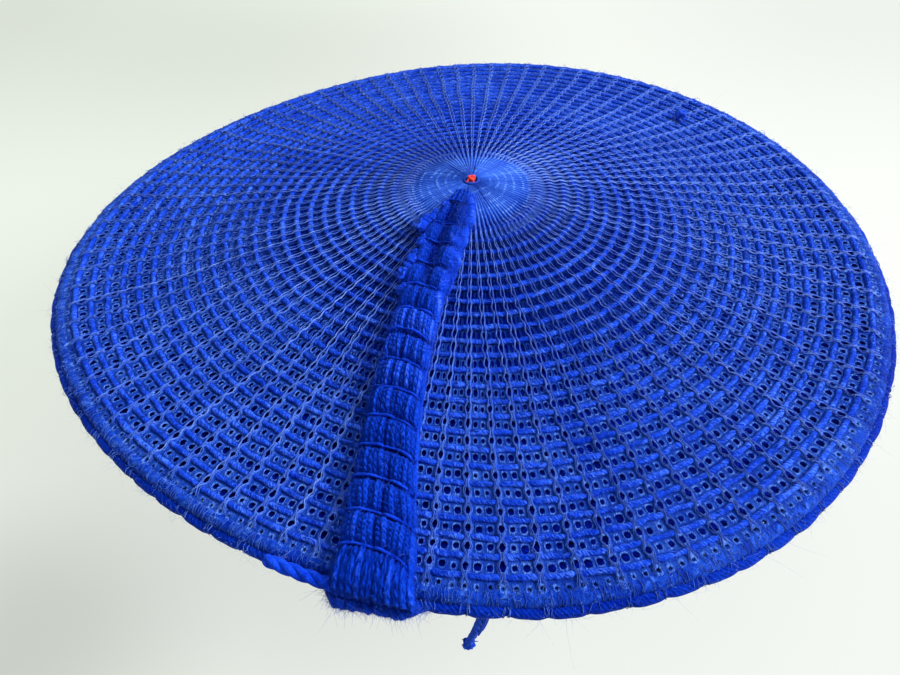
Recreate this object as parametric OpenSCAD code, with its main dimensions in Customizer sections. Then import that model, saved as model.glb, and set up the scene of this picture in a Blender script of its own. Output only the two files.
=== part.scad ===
// Wide hat with a shallow cone for its crown. A wired frame of split cane and
// stiff cloth is covered with gathered netting, and yarn is darned through the
// netting in rings. The side flares from the head opening out to the rim.
// Millimetres, +Z up. The hat stands on its head opening at z = 0, and its
// seam runs from the crown's point to the rim along -Y.

/* [Hat] */
// Radius at the outside of the wide rim
rim_r = 215; // [200:5:235]
// Height of the rim above the surface that the hat stands on
rim_h = 130; // [124:2:145]
// Rise of the crown's point above the rim
crown_rise = 32; // [20:1:45]
// Where the cone eases into the flat brim, as a share of the rim's radius
brim_share = 0.82; // [0.7:0.02:0.9]
// Inside radius of the head opening
head_r = 90; // [87:1:93]
// How late the side flares out: 1 is a straight funnel
flare_power = 1.7; // [1.3:0.1:2.2]

/* [Cloth and cane] */
// Thickness of the stiff cloth under the netting
cloth_t = 1.6; // [1.2:0.1:2.2]
// Thickness of the netting
net_t = 1; // [0.6:0.1:1.4]
// Width of a strip of split cane
cane_w = 6; // [4:0.5:8]
// Thickness of a strip of split cane
cane_t = 2.5; // [1.5:0.5:3]
// Number of cane spokes under the crown
spoke_count = 12; // [8:1:16]
// Number of cane stays inside the side
stay_count = 12; // [8:1:16]

/* [Yarn] */
// Thickness of the darning yarn
yarn_d = 2.6; // [2:0.2:3]
// Distance from one ring of yarn to the next
ring_pitch = 7.3; // [6:0.1:9]
// Radius of the smallest ring of yarn on the crown
first_ring_r = 34.4; // [25:0.2:50]

/* [Rim] */
// Thickness of the rim's wire hoop
hoop_d = 3.2; // [2.4:0.2:4]
// Thickness of the yarn and netting wound round the hoop
binding_d = 6.4; // [6:0.2:7.2]
// Thickness of the cord sewn outside the binding
rim_cord_d = 4.6; // [4:0.2:5]

/* [Seam] */
// Width of the seam strip at the crown's point
seam_point_w = 8; // [7:1:12]
// Width of the seam strip half-way down the crown
seam_mid_w = 20; // [16:1:24]
// Width of the seam strip at the rim
seam_rim_w = 34; // [26:1:40]
// How far the seam strip bows to one side of a straight line
seam_bow = 11; // [0:1:14]
// Thickness of the seam strip, away from the crown's point
seam_t = 7; // [4:0.5:9]
// Thickness of the seam down the side
side_seam_t = 3; // [2:0.5:4]
// Number of stitches across the seam strip
stitch_count = 14; // [10:1:16]

/* [Head opening] */
// Height of the headband
band_h = 40; // [30:1:50]
// Thickness of the headband
band_t = 2; // [1.5:0.1:2]
// Width of the bound edge that the hat stands on
edge_w = 9; // [9:0.5:11]
// Height of the bound edge that the hat stands on
edge_h = 9; // [8:0.5:10]
// Depth of the lining above the base
lining_h = 112; // [100:1:114]
// Thickness of the lining
lining_t = 1; // [0.8:0.1:1.2]

/* [Loose end] */
// Thickness of the loose end of yarn under the rim
tail_d = 3; // [2.4:0.2:3.2]
// Thickness of its knot
tail_knot_d = 6; // [5:0.5:8]

/* [Hidden] */
$fn = 96;

// Blue yarn, lighter netting, and what lies inside
yarn_blue = "#1743d6";
net_blue = "#3a55c8";
deep_blue = "#16226e";
cane_tan = "#c8a86a";
wire_grey = "#9a9ea4";

profile_steps = 16;
cane_steps = 6;

// Rim: the hoop with its binding, and the cord outside and a little lower
hoop_at = [rim_r - 7.4, rim_h - 3.8];
rim_cord_at = [rim_r - rim_cord_d / 2, rim_h - 5.7];
rim_mid = [rim_r - 5.6, rim_h - 4.6];
rim_bundle_r = 6;
shell_edge_r = hoop_at[0] - binding_d / 2 - 0.2;
cord_end_at = [rim_r - 0.1, rim_h - 0.7];
cord_end_d = 5.5;
cord_end_arc = 7;
cord_end_gap = 0.3;

// The crown's line: a cone that eases into the flat brim
brim_r = brim_share * rim_r;
brim_ease = 0.12;
brim_drop = 2;
function eased(t) = (t + sqrt(t * t + brim_ease * brim_ease)) / 2;
function crown_z(r) = rim_h - brim_drop + crown_rise * eased(1 - r / brim_r);

// The side's line: a funnel that flares late
neck_r = head_r + band_t + lining_t + cloth_t + hoop_d;
side_top_z = rim_h - 7.4;
side_span = shell_edge_r - neck_r;
function side_r(z) = neck_r + side_span * pow(z / side_top_z, flare_power);
function side_z(r) = side_top_z * pow((r - neck_r) / side_span, 1 / flare_power);

// Paths of [radius, height], always with the outside of the hat on their left
function crown_path(r0, r1, steps = profile_steps) =
    [for (i = [0:steps]) let (r = r0 + (r1 - r0) * i / steps) [r, crown_z(r)]];
function side_path(z0, z1, steps = profile_steps) =
    [for (i = [0:steps]) let (z = z0 + (z1 - z0) * i / steps) [side_r(z), z]];
function arc_path(mid, r, a0, a1) =
    [for (i = [0:profile_steps]) let (a = a0 + (a1 - a0) * i / profile_steps)
        mid + r * [cos(a), sin(a)]];
function turn_left(d) = [-d[1], d[0]] / norm(d);
function offset_path(p, d) =
    [for (i = [0:len(p) - 1])
        let (a = p[max(i - 1, 0)], b = p[min(i + 1, len(p) - 1)])
            p[i] + d * turn_left(b - a)];
function backwards(p) = [for (i = [len(p) - 1:-1:0]) p[i]];
function off_axis(p) = [for (q = p) [max(q[0], 0), q[1]]];

// A layer between two distances from a path, all the way round
module layer(path, d0, d1)
    rotate_extrude()
        polygon(off_axis(concat(offset_path(path, d0), backwards(offset_path(path, d1)))));

// Straight strips cut from a layer, evenly spaced round the hat
module strips(path, d0, d1, count, width)
    for (i = [0:count - 1])
        intersection() {
            layer(path, d0, d1);
            rotate((i + 0.5) * 360 / count)
                translate([0, -width / 2, 0])
                    cube([rim_r, width, rim_h + crown_rise]);
        }

module ring(at, d)
    rotate_extrude()
        translate(at) circle(d = d);

// A strip over the seam: a cross-section turned about the axis, cut by the
// seam's outline as it runs from the point towards -Y
seam_cut_steps = 10;
module seam_cut(r0, r1, share = 1)
    intersection() {
        children();
        linear_extrude(2 * rim_h)
            polygon([for (side = [-1, 1], i = [0:seam_cut_steps])
                let (t = side < 0 ? i : seam_cut_steps - i,
                    r = r0 + (r1 - r0) * t / seam_cut_steps)
                    [share * (seam_mid_x(r) + side * seam_w(r) / 2), -r]]);
    }

// Seam strip: it lies on the rings of yarn and wraps over the rim
seam_start_r = 13;
seam_out_r = rim_r + 6;
seam_low = net_t + yarn_d;
rim_wrap_t = 4.2;
rim_wrap_angle = -50;
seam_full_r = 70;
function seam_thick(r) = seam_t * (0.4 + 0.6 * min(1, r / seam_full_r));
seam_point_spread = 0.55;
function seam_mid_x(r) = -seam_bow * sin(180 * min(1, r / seam_out_r));
function seam_w(r) = min(
    seam_mid_w + (seam_rim_w - seam_mid_w) * pow(r / seam_out_r, 3),
    seam_point_w + seam_point_spread * (r - seam_start_r));

// Stitches over the strip, two rings apart
first_stitch_r = 22;
last_stitch_r = shell_edge_r - 4;
function stitch_r(i) =
    first_stitch_r + i * (last_stitch_r - first_stitch_r) / (stitch_count - 1);
leg_d = yarn_d - 0.6;

// Rings of yarn down the side
side_low_z = edge_h + 4;
side_ring_count = 17;

// Net knot, on the right-hand side at the back
darn_knot_at = [119, 128];
darn_knot_d = 7;

// Loose end: from the rim cord's underside, straight down with a slight lean
tail_top = [37.3, -208.7, rim_cord_at[1] - rim_cord_d / 2];
tail_route = [
    [0, 0, 0], [-0.1, -0.2, -3], [-0.4, -0.5, -6], [-0.8, -0.9, -9],
    [-1.3, -1.2, -12], [-1.8, -1.5, -15], [-2.4, -1.7, -18], [-2.9, -1.8, -21],
    [-3.5, -1.9, -24], [-4.1, -2, -27], [-4.6, -2, -30]
];
tail_sides = 8;

// A tube swept along a route, one ring of corners at each point
function along(p, i) =
    let (d = p[min(i + 1, len(p) - 1)] - p[max(i - 1, 0)]) d / norm(d);
function tube_ring(p, i, d) =
    let (t = along(p, i), u = cross(t, [0, 1, 0]), a = u / norm(u), b = cross(t, a))
        [for (k = [0:tail_sides - 1])
            p[i] + d / 2 * (cos(k * 360 / tail_sides) * a + sin(k * 360 / tail_sides) * b)];
module tube(p, d) {
    n = tail_sides;
    last = len(p) - 1;
    points = [for (i = [0:last]) each tube_ring(p, i, d)];
    walls = [for (i = [0:last - 1], k = [0:n - 1])
        [i * n + k, i * n + (k + 1) % n, (i + 1) * n + (k + 1) % n, (i + 1) * n + k]];
    first_cap = [[for (k = [n - 1:-1:0]) k]];
    last_cap = [[for (k = [0:n - 1]) last * n + k]];
    polyhedron(points, concat(first_cap, walls, last_cap));
}

// ---- Frame ----

module rim_hoop() color(wire_grey) ring(hoop_at, hoop_d);

mid_z = rim_h * 0.55;
module mid_hoop() color(wire_grey) {
    inward = offset_path(side_path(mid_z - 1, mid_z + 1),
        cloth_t + 2 * cane_gap + cane_t + hoop_d / 2);
    ring(inward[profile_steps / 2], hoop_d);
}

head_hoop_at = [head_r + band_t + edge_w / 2, edge_h / 2];
module head_hoop() color(wire_grey) ring(head_hoop_at, hoop_d);

hub_r = 20;
hub_t = 5;
cane_gap = 0.6;
spoke_low = -cloth_t - cane_gap - cane_t;
module crown_hub() color(cane_tan)
    layer(crown_path(0, hub_r), spoke_low - hub_t, spoke_low);

module crown_spokes() color(cane_tan)
    strips(crown_path(4, shell_edge_r, cane_steps), spoke_low, -cloth_t - cane_gap,
        spoke_count, cane_w);

module side_stays() color(cane_tan)
    strips(side_path(edge_h + 1, side_top_z - 3, cane_steps), cloth_t + cane_gap,
        cloth_t + cane_gap + cane_t, stay_count, cane_w);

// ---- Cloth and netting ----

module crown_foundation() color(deep_blue)
    layer(crown_path(0, shell_edge_r), -cloth_t, 0);

module side_foundation() color(deep_blue)
    layer(side_path(edge_h, side_top_z), 0, cloth_t);

point_hole_r = 3;
module crown_net() color(net_blue)
    layer(crown_path(point_hole_r, shell_edge_r), 0, net_t);

module side_net() color(net_blue)
    layer(side_path(edge_h, side_top_z), -net_t, 0);

module crown_ring_yarns() color(yarn_blue)
    for (r = [first_ring_r:ring_pitch:shell_edge_r - yarn_d / 2])
        ring([r, crown_z(r) + net_t + yarn_d / 2], yarn_d);

module side_ring_yarns() color(yarn_blue) {
    side = offset_path(side_path(side_low_z, side_top_z - 4, side_ring_count - 1),
        -net_t - yarn_d / 2);
    for (i = [0:side_ring_count - 1])
        ring(side[i], yarn_d);
}

// ---- Rim ----

module rim_binding() color(yarn_blue)
    rotate_extrude()
        translate(hoop_at) difference() {
            circle(d = binding_d);
            circle(d = hoop_d);
        }

module rim_cord() color(yarn_blue) ring(rim_cord_at, rim_cord_d);

module seam_cord_end() color(yarn_blue) {
    start = -90 - asin((seam_w(rim_r) / 2 - seam_mid_x(rim_r)) / rim_r)
        - cord_end_arc - cord_end_gap;
    rotate(start) rotate_extrude(angle = cord_end_arc)
        translate(cord_end_at) circle(d = cord_end_d);
    rotate(start) translate([cord_end_at[0], 0, cord_end_at[1]])
        sphere(d = cord_end_d);
}

// ---- Seam ----

module seam_strip() color(yarn_blue)
    seam_cut(seam_start_r, seam_out_r)
        rotate_extrude() {
            top = crown_path(seam_start_r - 2, shell_edge_r);
            low = concat(offset_path(top, seam_low),
                arc_path(rim_mid, rim_bundle_r, 100, rim_wrap_angle));
            high = concat([for (q = top) q + [0, seam_low + seam_thick(q[0])]],
                arc_path(rim_mid, rim_bundle_r + rim_wrap_t, 85, rim_wrap_angle));
            polygon(concat(low, backwards(high)));
        }

module seam_stitches() color(yarn_blue)
    for (i = [0:stitch_count - 1]) {
        r = stitch_r(i);
        half = seam_w(r) / 2 + yarn_d / 2 + 0.6;
        foot_z = crown_z(r) + net_t + yarn_d;
        leg = seam_thick(r) + 0.8 + yarn_d / 2;
        translate([seam_mid_x(r), -r, foot_z]) {
            translate([0, 0, leg]) rotate([0, 90, 0])
                cylinder(h = 2 * half + yarn_d, d = yarn_d, center = true);
            for (side = [-half, half])
                translate([side, 0, 0]) cylinder(h = leg, d = leg_d);
        }
    }

side_seam_share = 0.65;
module side_seam() color(yarn_blue) {
    low = net_t + yarn_d;
    seam_cut(neck_r - 5, rim_r, side_seam_share)
        layer(side_path(edge_h + 1, side_top_z - 12), -low - side_seam_t, -low);
}

// ---- Head opening ----

module edge_binding() color(yarn_blue)
    rotate_extrude() difference() {
        translate([head_r + band_t, 0]) square([edge_w, edge_h]);
        translate(head_hoop_at) circle(d = hoop_d);
    }

band_base_z = 2;
module headband() color(deep_blue)
    rotate_extrude()
        translate([head_r, band_base_z]) square([band_t, band_h]);

piping_d = 2.4;
module headband_piping() color(yarn_blue)
    ring([head_r + band_t - piping_d / 2, band_base_z + band_h + piping_d / 2], piping_d);

module lining() color(deep_blue)
    rotate_extrude()
        translate([head_r + band_t, edge_h]) square([lining_t, lining_h - edge_h]);

module lining_tip() color(deep_blue)
    translate([0, 0, lining_h]) cylinder(h = lining_t, r = head_r + band_t + lining_t);

// ---- Small pieces ----

drawstring_d = 2;
module net_drawstring() color(net_blue)
    ring([point_hole_r + drawstring_d / 2, crown_z(0) + net_t + drawstring_d / 2],
        drawstring_d);

tie_d = 5;
module apex_tie() color("red") {
    top = crown_z(0);
    translate([0, 0, top]) cylinder(h = net_t + 1, d = 2 * point_hole_r - 2);
    translate([0, 0, top + net_t + drawstring_d + tie_d / 2 - 2]) sphere(d = tie_d);
}

module darn_knot() color(yarn_blue) {
    r = norm(darn_knot_at);
    translate([darn_knot_at[0], darn_knot_at[1], crown_z(r) + net_t + yarn_d])
        translate([0, 0, darn_knot_d / 2]) sphere(d = darn_knot_d);
}

module yarn_tail() color(yarn_blue)
    translate(tail_top) tube(tail_route, tail_d);

module tail_knot() color(yarn_blue)
    translate(tail_top + tail_route[len(tail_route) - 1] - [0, 0, tail_knot_d / 2])
        sphere(d = tail_knot_d);

rim_hoop();
mid_hoop();
head_hoop();
crown_hub();
crown_spokes();
side_stays();
crown_foundation();
side_foundation();
crown_net();
crown_ring_yarns();
side_net();
side_ring_yarns();
rim_binding();
rim_cord();
seam_strip();
seam_stitches();
seam_cord_end();
side_seam();
edge_binding();
headband();
headband_piping();
lining();
lining_tip();
net_drawstring();
apex_tie();
darn_knot();
yarn_tail();
tail_knot();
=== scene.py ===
"""A wide blue hat of netting darned with yarn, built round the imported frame. Units are metres."""
import math

import bpy
import numpy as np
from mathutils import Matrix, Vector


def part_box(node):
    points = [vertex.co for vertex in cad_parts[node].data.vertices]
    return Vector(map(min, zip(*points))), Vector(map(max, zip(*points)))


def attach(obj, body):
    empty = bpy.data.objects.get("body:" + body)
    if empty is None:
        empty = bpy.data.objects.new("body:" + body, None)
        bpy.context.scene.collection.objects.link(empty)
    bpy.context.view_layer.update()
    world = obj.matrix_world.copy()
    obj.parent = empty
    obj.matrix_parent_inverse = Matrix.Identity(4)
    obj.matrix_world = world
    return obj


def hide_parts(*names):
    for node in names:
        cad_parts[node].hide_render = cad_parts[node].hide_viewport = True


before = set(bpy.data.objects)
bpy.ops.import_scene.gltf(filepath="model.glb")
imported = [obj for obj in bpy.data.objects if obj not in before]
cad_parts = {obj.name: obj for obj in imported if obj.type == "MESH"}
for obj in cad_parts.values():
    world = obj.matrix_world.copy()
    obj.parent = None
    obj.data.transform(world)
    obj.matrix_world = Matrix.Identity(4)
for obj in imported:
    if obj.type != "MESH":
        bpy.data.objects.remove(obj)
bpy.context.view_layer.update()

MM = 0.001
TAU = 2 * math.pi
UP = (0, 0, 1)
rng = np.random.default_rng(7)

# ---- Sizes taken from the frame ----

rim_cord_low, rim_cord_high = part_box("rim_cord")
binding_low, binding_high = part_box("rim_binding")
shell_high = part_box("crown_foundation")[1]
edge_low, edge_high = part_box("edge_binding")
band_low, band_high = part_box("headband")
lining_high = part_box("lining")[1]


def ring_sizes(low, high):
    """A ring's middle radius, middle height and half thickness, from its box."""
    half = (high.z - low.z) / 2
    return high.x - half, (low.z + high.z) / 2, half


RIM_R = rim_cord_high.x
CORD_R, CORD_Z, CORD_HALF = ring_sizes(rim_cord_low, rim_cord_high)
CORD_DROP = 5.7 * MM
RIM_H = CORD_Z + CORD_DROP
BINDING_R, BINDING_Z, BINDING_HALF = ring_sizes(binding_low, binding_high)
BINDING_AT = BINDING_R + 0.6 * MM
SHELL_R = shell_high.x

BRIM_R = 0.82 * RIM_R
BRIM_EASE = 0.12
CROWN_BASE = RIM_H - 2 * MM


def eased(t):
    """Runs as t where t is well above nothing, and eases into a level line below."""
    return (t + np.sqrt(t * t + BRIM_EASE**2)) / 2


CROWN_RISE = (shell_high.z - CROWN_BASE) / eased(1.0)

NECK_R = band_high.x + 5.8 * MM
SIDE_TOP = RIM_H - 7.4 * MM
SIDE_SPAN = SHELL_R - NECK_R
FLARE = 1.7

# ---- The weave ----

RIBS = 92
COLUMNS_PER_RIB = 3
COLUMNS = RIBS * COLUMNS_PER_RIB
RING_PITCH = 7.3 * MM
FIRST_RING_R = 34.4 * MM
SEAM_AZIMUTH = -math.pi / 2


def slope_and_size(profile, at):
    """A profile's slope at a place, and the length of its normal."""
    step = 0.5 * MM
    slope = (profile(at + step) - profile(at - step)) / (2 * step)
    return slope, np.sqrt(1 + slope**2)


def crown_z(r):
    return CROWN_BASE + CROWN_RISE * eased(1 - r / BRIM_R)


def crown_point(r, phi, lift):
    """Points at a radius and azimuth, lifted off the crown's cloth."""
    slope, size = slope_and_size(crown_z, r)
    out = r - lift * slope / size
    return polar(out, phi, crown_z(r) + lift / size)


def side_r(z):
    return NECK_R + SIDE_SPAN * (np.maximum(z, 0) / SIDE_TOP) ** FLARE


def side_point(z, phi, lift):
    """Points at a height and azimuth, lifted outward off the side's cloth."""
    slope, size = slope_and_size(side_r, z)
    out = side_r(z) + lift / size
    return polar(out, phi, z - lift * slope / size)


def polar(r, phi, z):
    """Points from a radius, an azimuth and a height."""
    return np.stack(np.broadcast_arrays(r * np.cos(phi), r * np.sin(phi), z), -1)


def across_and_along(u, v):
    """Two grids of values, with u down the rows and v along them."""
    return np.meshgrid(u, v, indexing="ij")


def round_turn(count):
    """Evenly spaced azimuths right round."""
    return np.arange(count) * TAU / count


def bell(x, width):
    """1 at nothing, falling away to either side over a width."""
    return np.exp(-((x / width) ** 2))


def arch(x, power=2):
    """1 in the middle, rounding down to nothing at -1 and at 1."""
    return np.sqrt(np.clip(1 - np.abs(x) ** power, 0, 1))


def smooth(x):
    """Eases from 0 to 1 as x does."""
    x = np.clip(x, 0, 1)
    return x * x * (3 - 2 * x)


def ripple(phi, waves, seed):
    """A soft, closed random line round the hat, about -1 to 1."""
    random = np.random.default_rng(seed)
    total = np.zeros_like(phi)
    for n in waves:
        total = total + random.normal() * np.sin(n * phi + random.uniform(0, TAU)) / math.sqrt(len(waves))
    return total


# The hat is a little out of round and its rim isn't quite level. These waves were fitted to the rim's
# outline in the photo: how many lobes, then the cosine and sine parts at the rim
OUT_OF_ROUND = ((2, 4.52 * MM, 2.27 * MM), (3, -3.76 * MM, -1.79 * MM))
OUT_OF_LEVEL = ((2, 0.2 * MM, 3.23 * MM), (3, 2.0 * MM, -0.78 * MM))
POINT_SHIFT = np.array([0.0, -1.25, -1.78]) * MM


def by_hand(points):
    """Moves points from the true round shape to that of a hat made by hand."""
    x, y = points[..., 0], points[..., 1]
    r = np.hypot(x, y)
    phi = np.arctan2(y, x)
    share = np.clip(r / RIM_R, 0, 1.1)
    grow = sum(c * np.cos(n * phi) + s * np.sin(n * phi) for n, c, s in OUT_OF_ROUND) * share**2
    lift = sum(c * np.cos(n * phi) + s * np.sin(n * phi) for n, c, s in OUT_OF_LEVEL) * share**2
    height = smooth(points[..., 2] / SIDE_TOP)
    scale = 1 + height * grow / np.maximum(r, 1 * MM)
    moved = np.stack([x * scale, y * scale, points[..., 2] + height * lift], -1)
    return moved + (height * np.clip(1 - share, 0, 1))[..., None] * POINT_SHIFT


# ---- Mesh building ----


class Strands:
    """Collects tubes and surfaces as arrays, then makes them into one piece, with a shade for each point."""

    def __init__(self, by_hand=True):
        self.points, self.faces, self.shades, self.lays, self.count = [], [], [], [], 0
        self.by_hand = by_hand

    def _take(self, points, shade, lay=None):
        base = self.count
        self.points.append(points.reshape(-1, 3))
        self.shades.append(np.broadcast_to(shade, points.shape[:-1]).reshape(-1))
        self.lays.append(np.zeros((points.size // 3, 3)) if lay is None else lay.reshape(-1, 3))
        self.count += points.size // 3
        return base

    def tubes(self, paths, up, width, height=None, sides=4, closed=False, shade=1.0, twist=0.0, lobe=0.0):
        """paths is (tubes, points, 3); width and height are half sizes across up and along it."""
        paths = np.asarray(paths, float)
        if paths.ndim == 2:
            paths = paths[None]
        n, m = paths.shape[:2]
        if closed:
            along = np.roll(paths, -1, 1) - np.roll(paths, 1, 1)
        else:
            along = np.gradient(paths, axis=1)
        along /= np.linalg.norm(along, axis=-1, keepdims=True) + 1e-12
        across = np.cross(along, np.broadcast_to(up, paths.shape))
        across /= np.linalg.norm(across, axis=-1, keepdims=True) + 1e-12
        upright = np.cross(across, along)
        width = np.broadcast_to(width, (n, m))[..., None]
        height = width if height is None else np.broadcast_to(height, (n, m))[..., None]
        corner = (np.arange(sides) + 0.5) * TAU / sides - math.pi / 2
        angle = corner + np.broadcast_to(twist, (n, m))[..., None]
        size = 1 + lobe * np.cos(2 * corner)
        ring = (
            paths[:, :, None]
            + (width * size * np.cos(angle))[..., None] * across[:, :, None]
            + (height * size * np.sin(angle))[..., None] * upright[:, :, None]
        )
        shade = np.broadcast_to(np.asarray(shade, float), (n, m))[..., None]
        reach = np.linalg.norm(np.diff(paths, axis=1), axis=-1)
        reach = np.concatenate([np.zeros((n, 1)), np.cumsum(reach, 1)], 1) / MM
        turn = np.broadcast_to(np.arange(sides) / sides, (n, m, sides))
        lay = np.stack([np.broadcast_to(reach[..., None], turn.shape), turn, 0 * turn], -1)
        base = self._take(ring, np.broadcast_to(shade, ring.shape[:-1]), lay)
        index = base + np.arange(n * m * sides).reshape(n, m, sides)
        start = index if closed else index[:, :-1]
        end = np.roll(index, -1, 1) if closed else index[:, 1:]
        quads = np.stack([start, np.roll(start, -1, 2), np.roll(end, -1, 2), end], -1)
        self.faces.append(quads.reshape(-1, 4))
        if not closed:
            self.faces.append(index[:, 0, ::-1])
            self.faces.append(index[:, -1])

    def grid(self, points, shade=1.0, wrap_u=False, wrap_v=False):
        """A surface from an array of points, (u, v, 3)."""
        base = self._take(points, np.asarray(shade, float))
        nu, nv = points.shape[:2]
        index = base + np.arange(nu * nv).reshape(nu, nv)
        if wrap_u:
            index = np.concatenate([index, index[:1]], 0)
        if wrap_v:
            index = np.concatenate([index, index[:, :1]], 1)
        quads = np.stack([index[:-1, :-1], index[1:, :-1], index[1:, 1:], index[:-1, 1:]], -1)
        self.faces.append(quads.reshape(-1, 4))

    def slab(self, top, below):
        """A closed sheet between two surfaces that run right round."""
        self.grid(np.concatenate([top, below[::-1]], 0), wrap_u=True, wrap_v=True)

    def build(self, name, material, slot, *nodes):
        mesh = bpy.data.meshes.new(name)
        points = np.concatenate(self.points)
        if self.by_hand:
            points = by_hand(points)
        mesh.vertices.add(len(points))
        mesh.vertices.foreach_set("co", points.astype(np.float32).ravel())
        loops = np.concatenate([f.ravel() for f in self.faces])
        sizes = np.concatenate([np.full(len(f), f.shape[1]) for f in self.faces])
        mesh.loops.add(len(loops))
        mesh.loops.foreach_set("vertex_index", loops.astype(np.int32))
        mesh.polygons.add(len(sizes))
        starts = np.concatenate([[0], np.cumsum(sizes)[:-1]])
        mesh.polygons.foreach_set("loop_start", starts.astype(np.int32))
        mesh.update(calc_edges=True)
        mesh.shade_smooth()
        shade = mesh.attributes.new("shade", "FLOAT", "POINT")
        shade.data.foreach_set("value", np.concatenate(self.shades).astype(np.float32))
        lay = mesh.attributes.new("lay", "FLOAT_VECTOR", "POINT")
        lay.data.foreach_set("vector", np.concatenate(self.lays).astype(np.float32).ravel())
        piece = bpy.data.objects.new(name, mesh)
        bpy.context.scene.collection.objects.link(piece)
        mesh.materials.append(material)
        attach(piece, "root")
        if nodes:
            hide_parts(*nodes)
        return piece


# ---- Materials ----


class Nodes:
    """Short calls for building a material's nodes."""

    def __init__(self, name):
        self.material = bpy.data.materials.new(name)
        self.material.use_nodes = True
        self.tree = self.material.node_tree
        self.shader = self.tree.nodes["Principled BSDF"]

    def add(self, kind, inputs=None, **settings):
        node = self.tree.nodes.new(kind)
        for key, value in settings.items():
            setattr(node, key, value)
        for key, value in (inputs or {}).items():
            self.feed(node.inputs[key], value)
        return node

    def feed(self, socket, value):
        if isinstance(value, bpy.types.NodeSocket):
            self.tree.links.new(value, socket)
        else:
            socket.default_value = value

    def set(self, **inputs):
        for key, value in inputs.items():
            self.feed(self.shader.inputs[key.replace("_", " ")], value)

    def place(self):
        return self.add("ShaderNodeTexCoord").outputs["Object"]

    def noise(self, scale, detail=3.0, where=None, roughness=0.55):
        inputs = {"Vector": where or self.place(), "Scale": scale, "Detail": detail, "Roughness": roughness}
        return self.add("ShaderNodeTexNoise", inputs).outputs["Fac"]

    def math(self, operation, a, b=0.0, clamp=False):
        node = self.add("ShaderNodeMath", operation=operation, use_clamp=clamp)
        self.feed(node.inputs[0], a)
        self.feed(node.inputs[1], b)
        return node.outputs[0]

    def times(self, a, b):
        return self.math("MULTIPLY", a, b)

    def plus(self, a, b):
        return self.math("ADD", a, b)

    def ramp(self, value, low, high, out_low=0.0, out_high=1.0):
        inputs = {"Value": value, "From Min": low, "From Max": high, "To Min": out_low, "To Max": out_high}
        return self.add("ShaderNodeMapRange", inputs).outputs[0]

    def mix(self, share, a, b, blend="MIX"):
        node = self.add("ShaderNodeMix", data_type="RGBA", blend_type=blend)
        self.feed(node.inputs["Factor"], share)
        self.feed(node.inputs["A"], a)
        self.feed(node.inputs["B"], b)
        return node.outputs["Result"]

    def bump(self, height, distance, strength=1.0):
        inputs = {"Height": height, "Distance": distance, "Strength": strength}
        return self.add("ShaderNodeBump", inputs).outputs["Normal"]

    def plies(self, count, lay):
        """0 in the grooves between twisted plies and 1 along them, from the strand's own coordinates."""
        node = self.add("ShaderNodeAttribute", attribute_name="lay")
        split = self.add("ShaderNodeSeparateXYZ", {"Vector": node.outputs["Vector"]})
        turn = self.plus(self.math("DIVIDE", split.outputs[0], lay), split.outputs[1])
        wobble = self.times(self.noise(300, 2.0), 0.25)
        wave = self.math("SINE", self.times(self.plus(turn, wobble), math.pi * count))
        return self.math("ABSOLUTE", wave)

    def streak(self):
        """Fine threads that wander along a strip of netting, 0 to 1, from the netting's own coordinates."""
        node = self.add("ShaderNodeAttribute", attribute_name="lay")
        inputs = {0: node.outputs["Vector"], 1: (8.0, 3.2, 1.0)}
        stretched = self.add("ShaderNodeVectorMath", inputs, operation="MULTIPLY")
        wave = self.noise(1.0, 2.0, stretched.outputs[0])
        ridge = self.math("ABSOLUTE", self.math("SUBTRACT", wave, 0.5))
        return self.ramp(ridge, 0.0, 0.09, 1.0, 0.0)

    def combing(self):
        """Fibres that lie along a yarn with a slight twist, 0 to 1, from the yarn's own coordinates."""
        node = self.add("ShaderNodeAttribute", attribute_name="lay")
        split = self.add("ShaderNodeSeparateXYZ", {"Vector": node.outputs["Vector"]})
        turn = self.plus(self.times(split.outputs[0], 0.16), split.outputs[1])
        place = self.add("ShaderNodeCombineXYZ", {0: split.outputs[0], 1: self.times(turn, 9.0)})
        return self.noise(0.8, 3.0, place.outputs[0])

    def shade(self):
        return self.add("ShaderNodeAttribute", attribute_name="shade").outputs["Fac"]


def rgb(red, green, blue):
    """A colour given as 0 to 255 display values."""
    return tuple((c / 255) ** 2.2 for c in (red, green, blue)) + (1.0,)


DEEP = rgb(0, 20, 122)
BLUE_GLINT = rgb(60, 120, 255)


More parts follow.
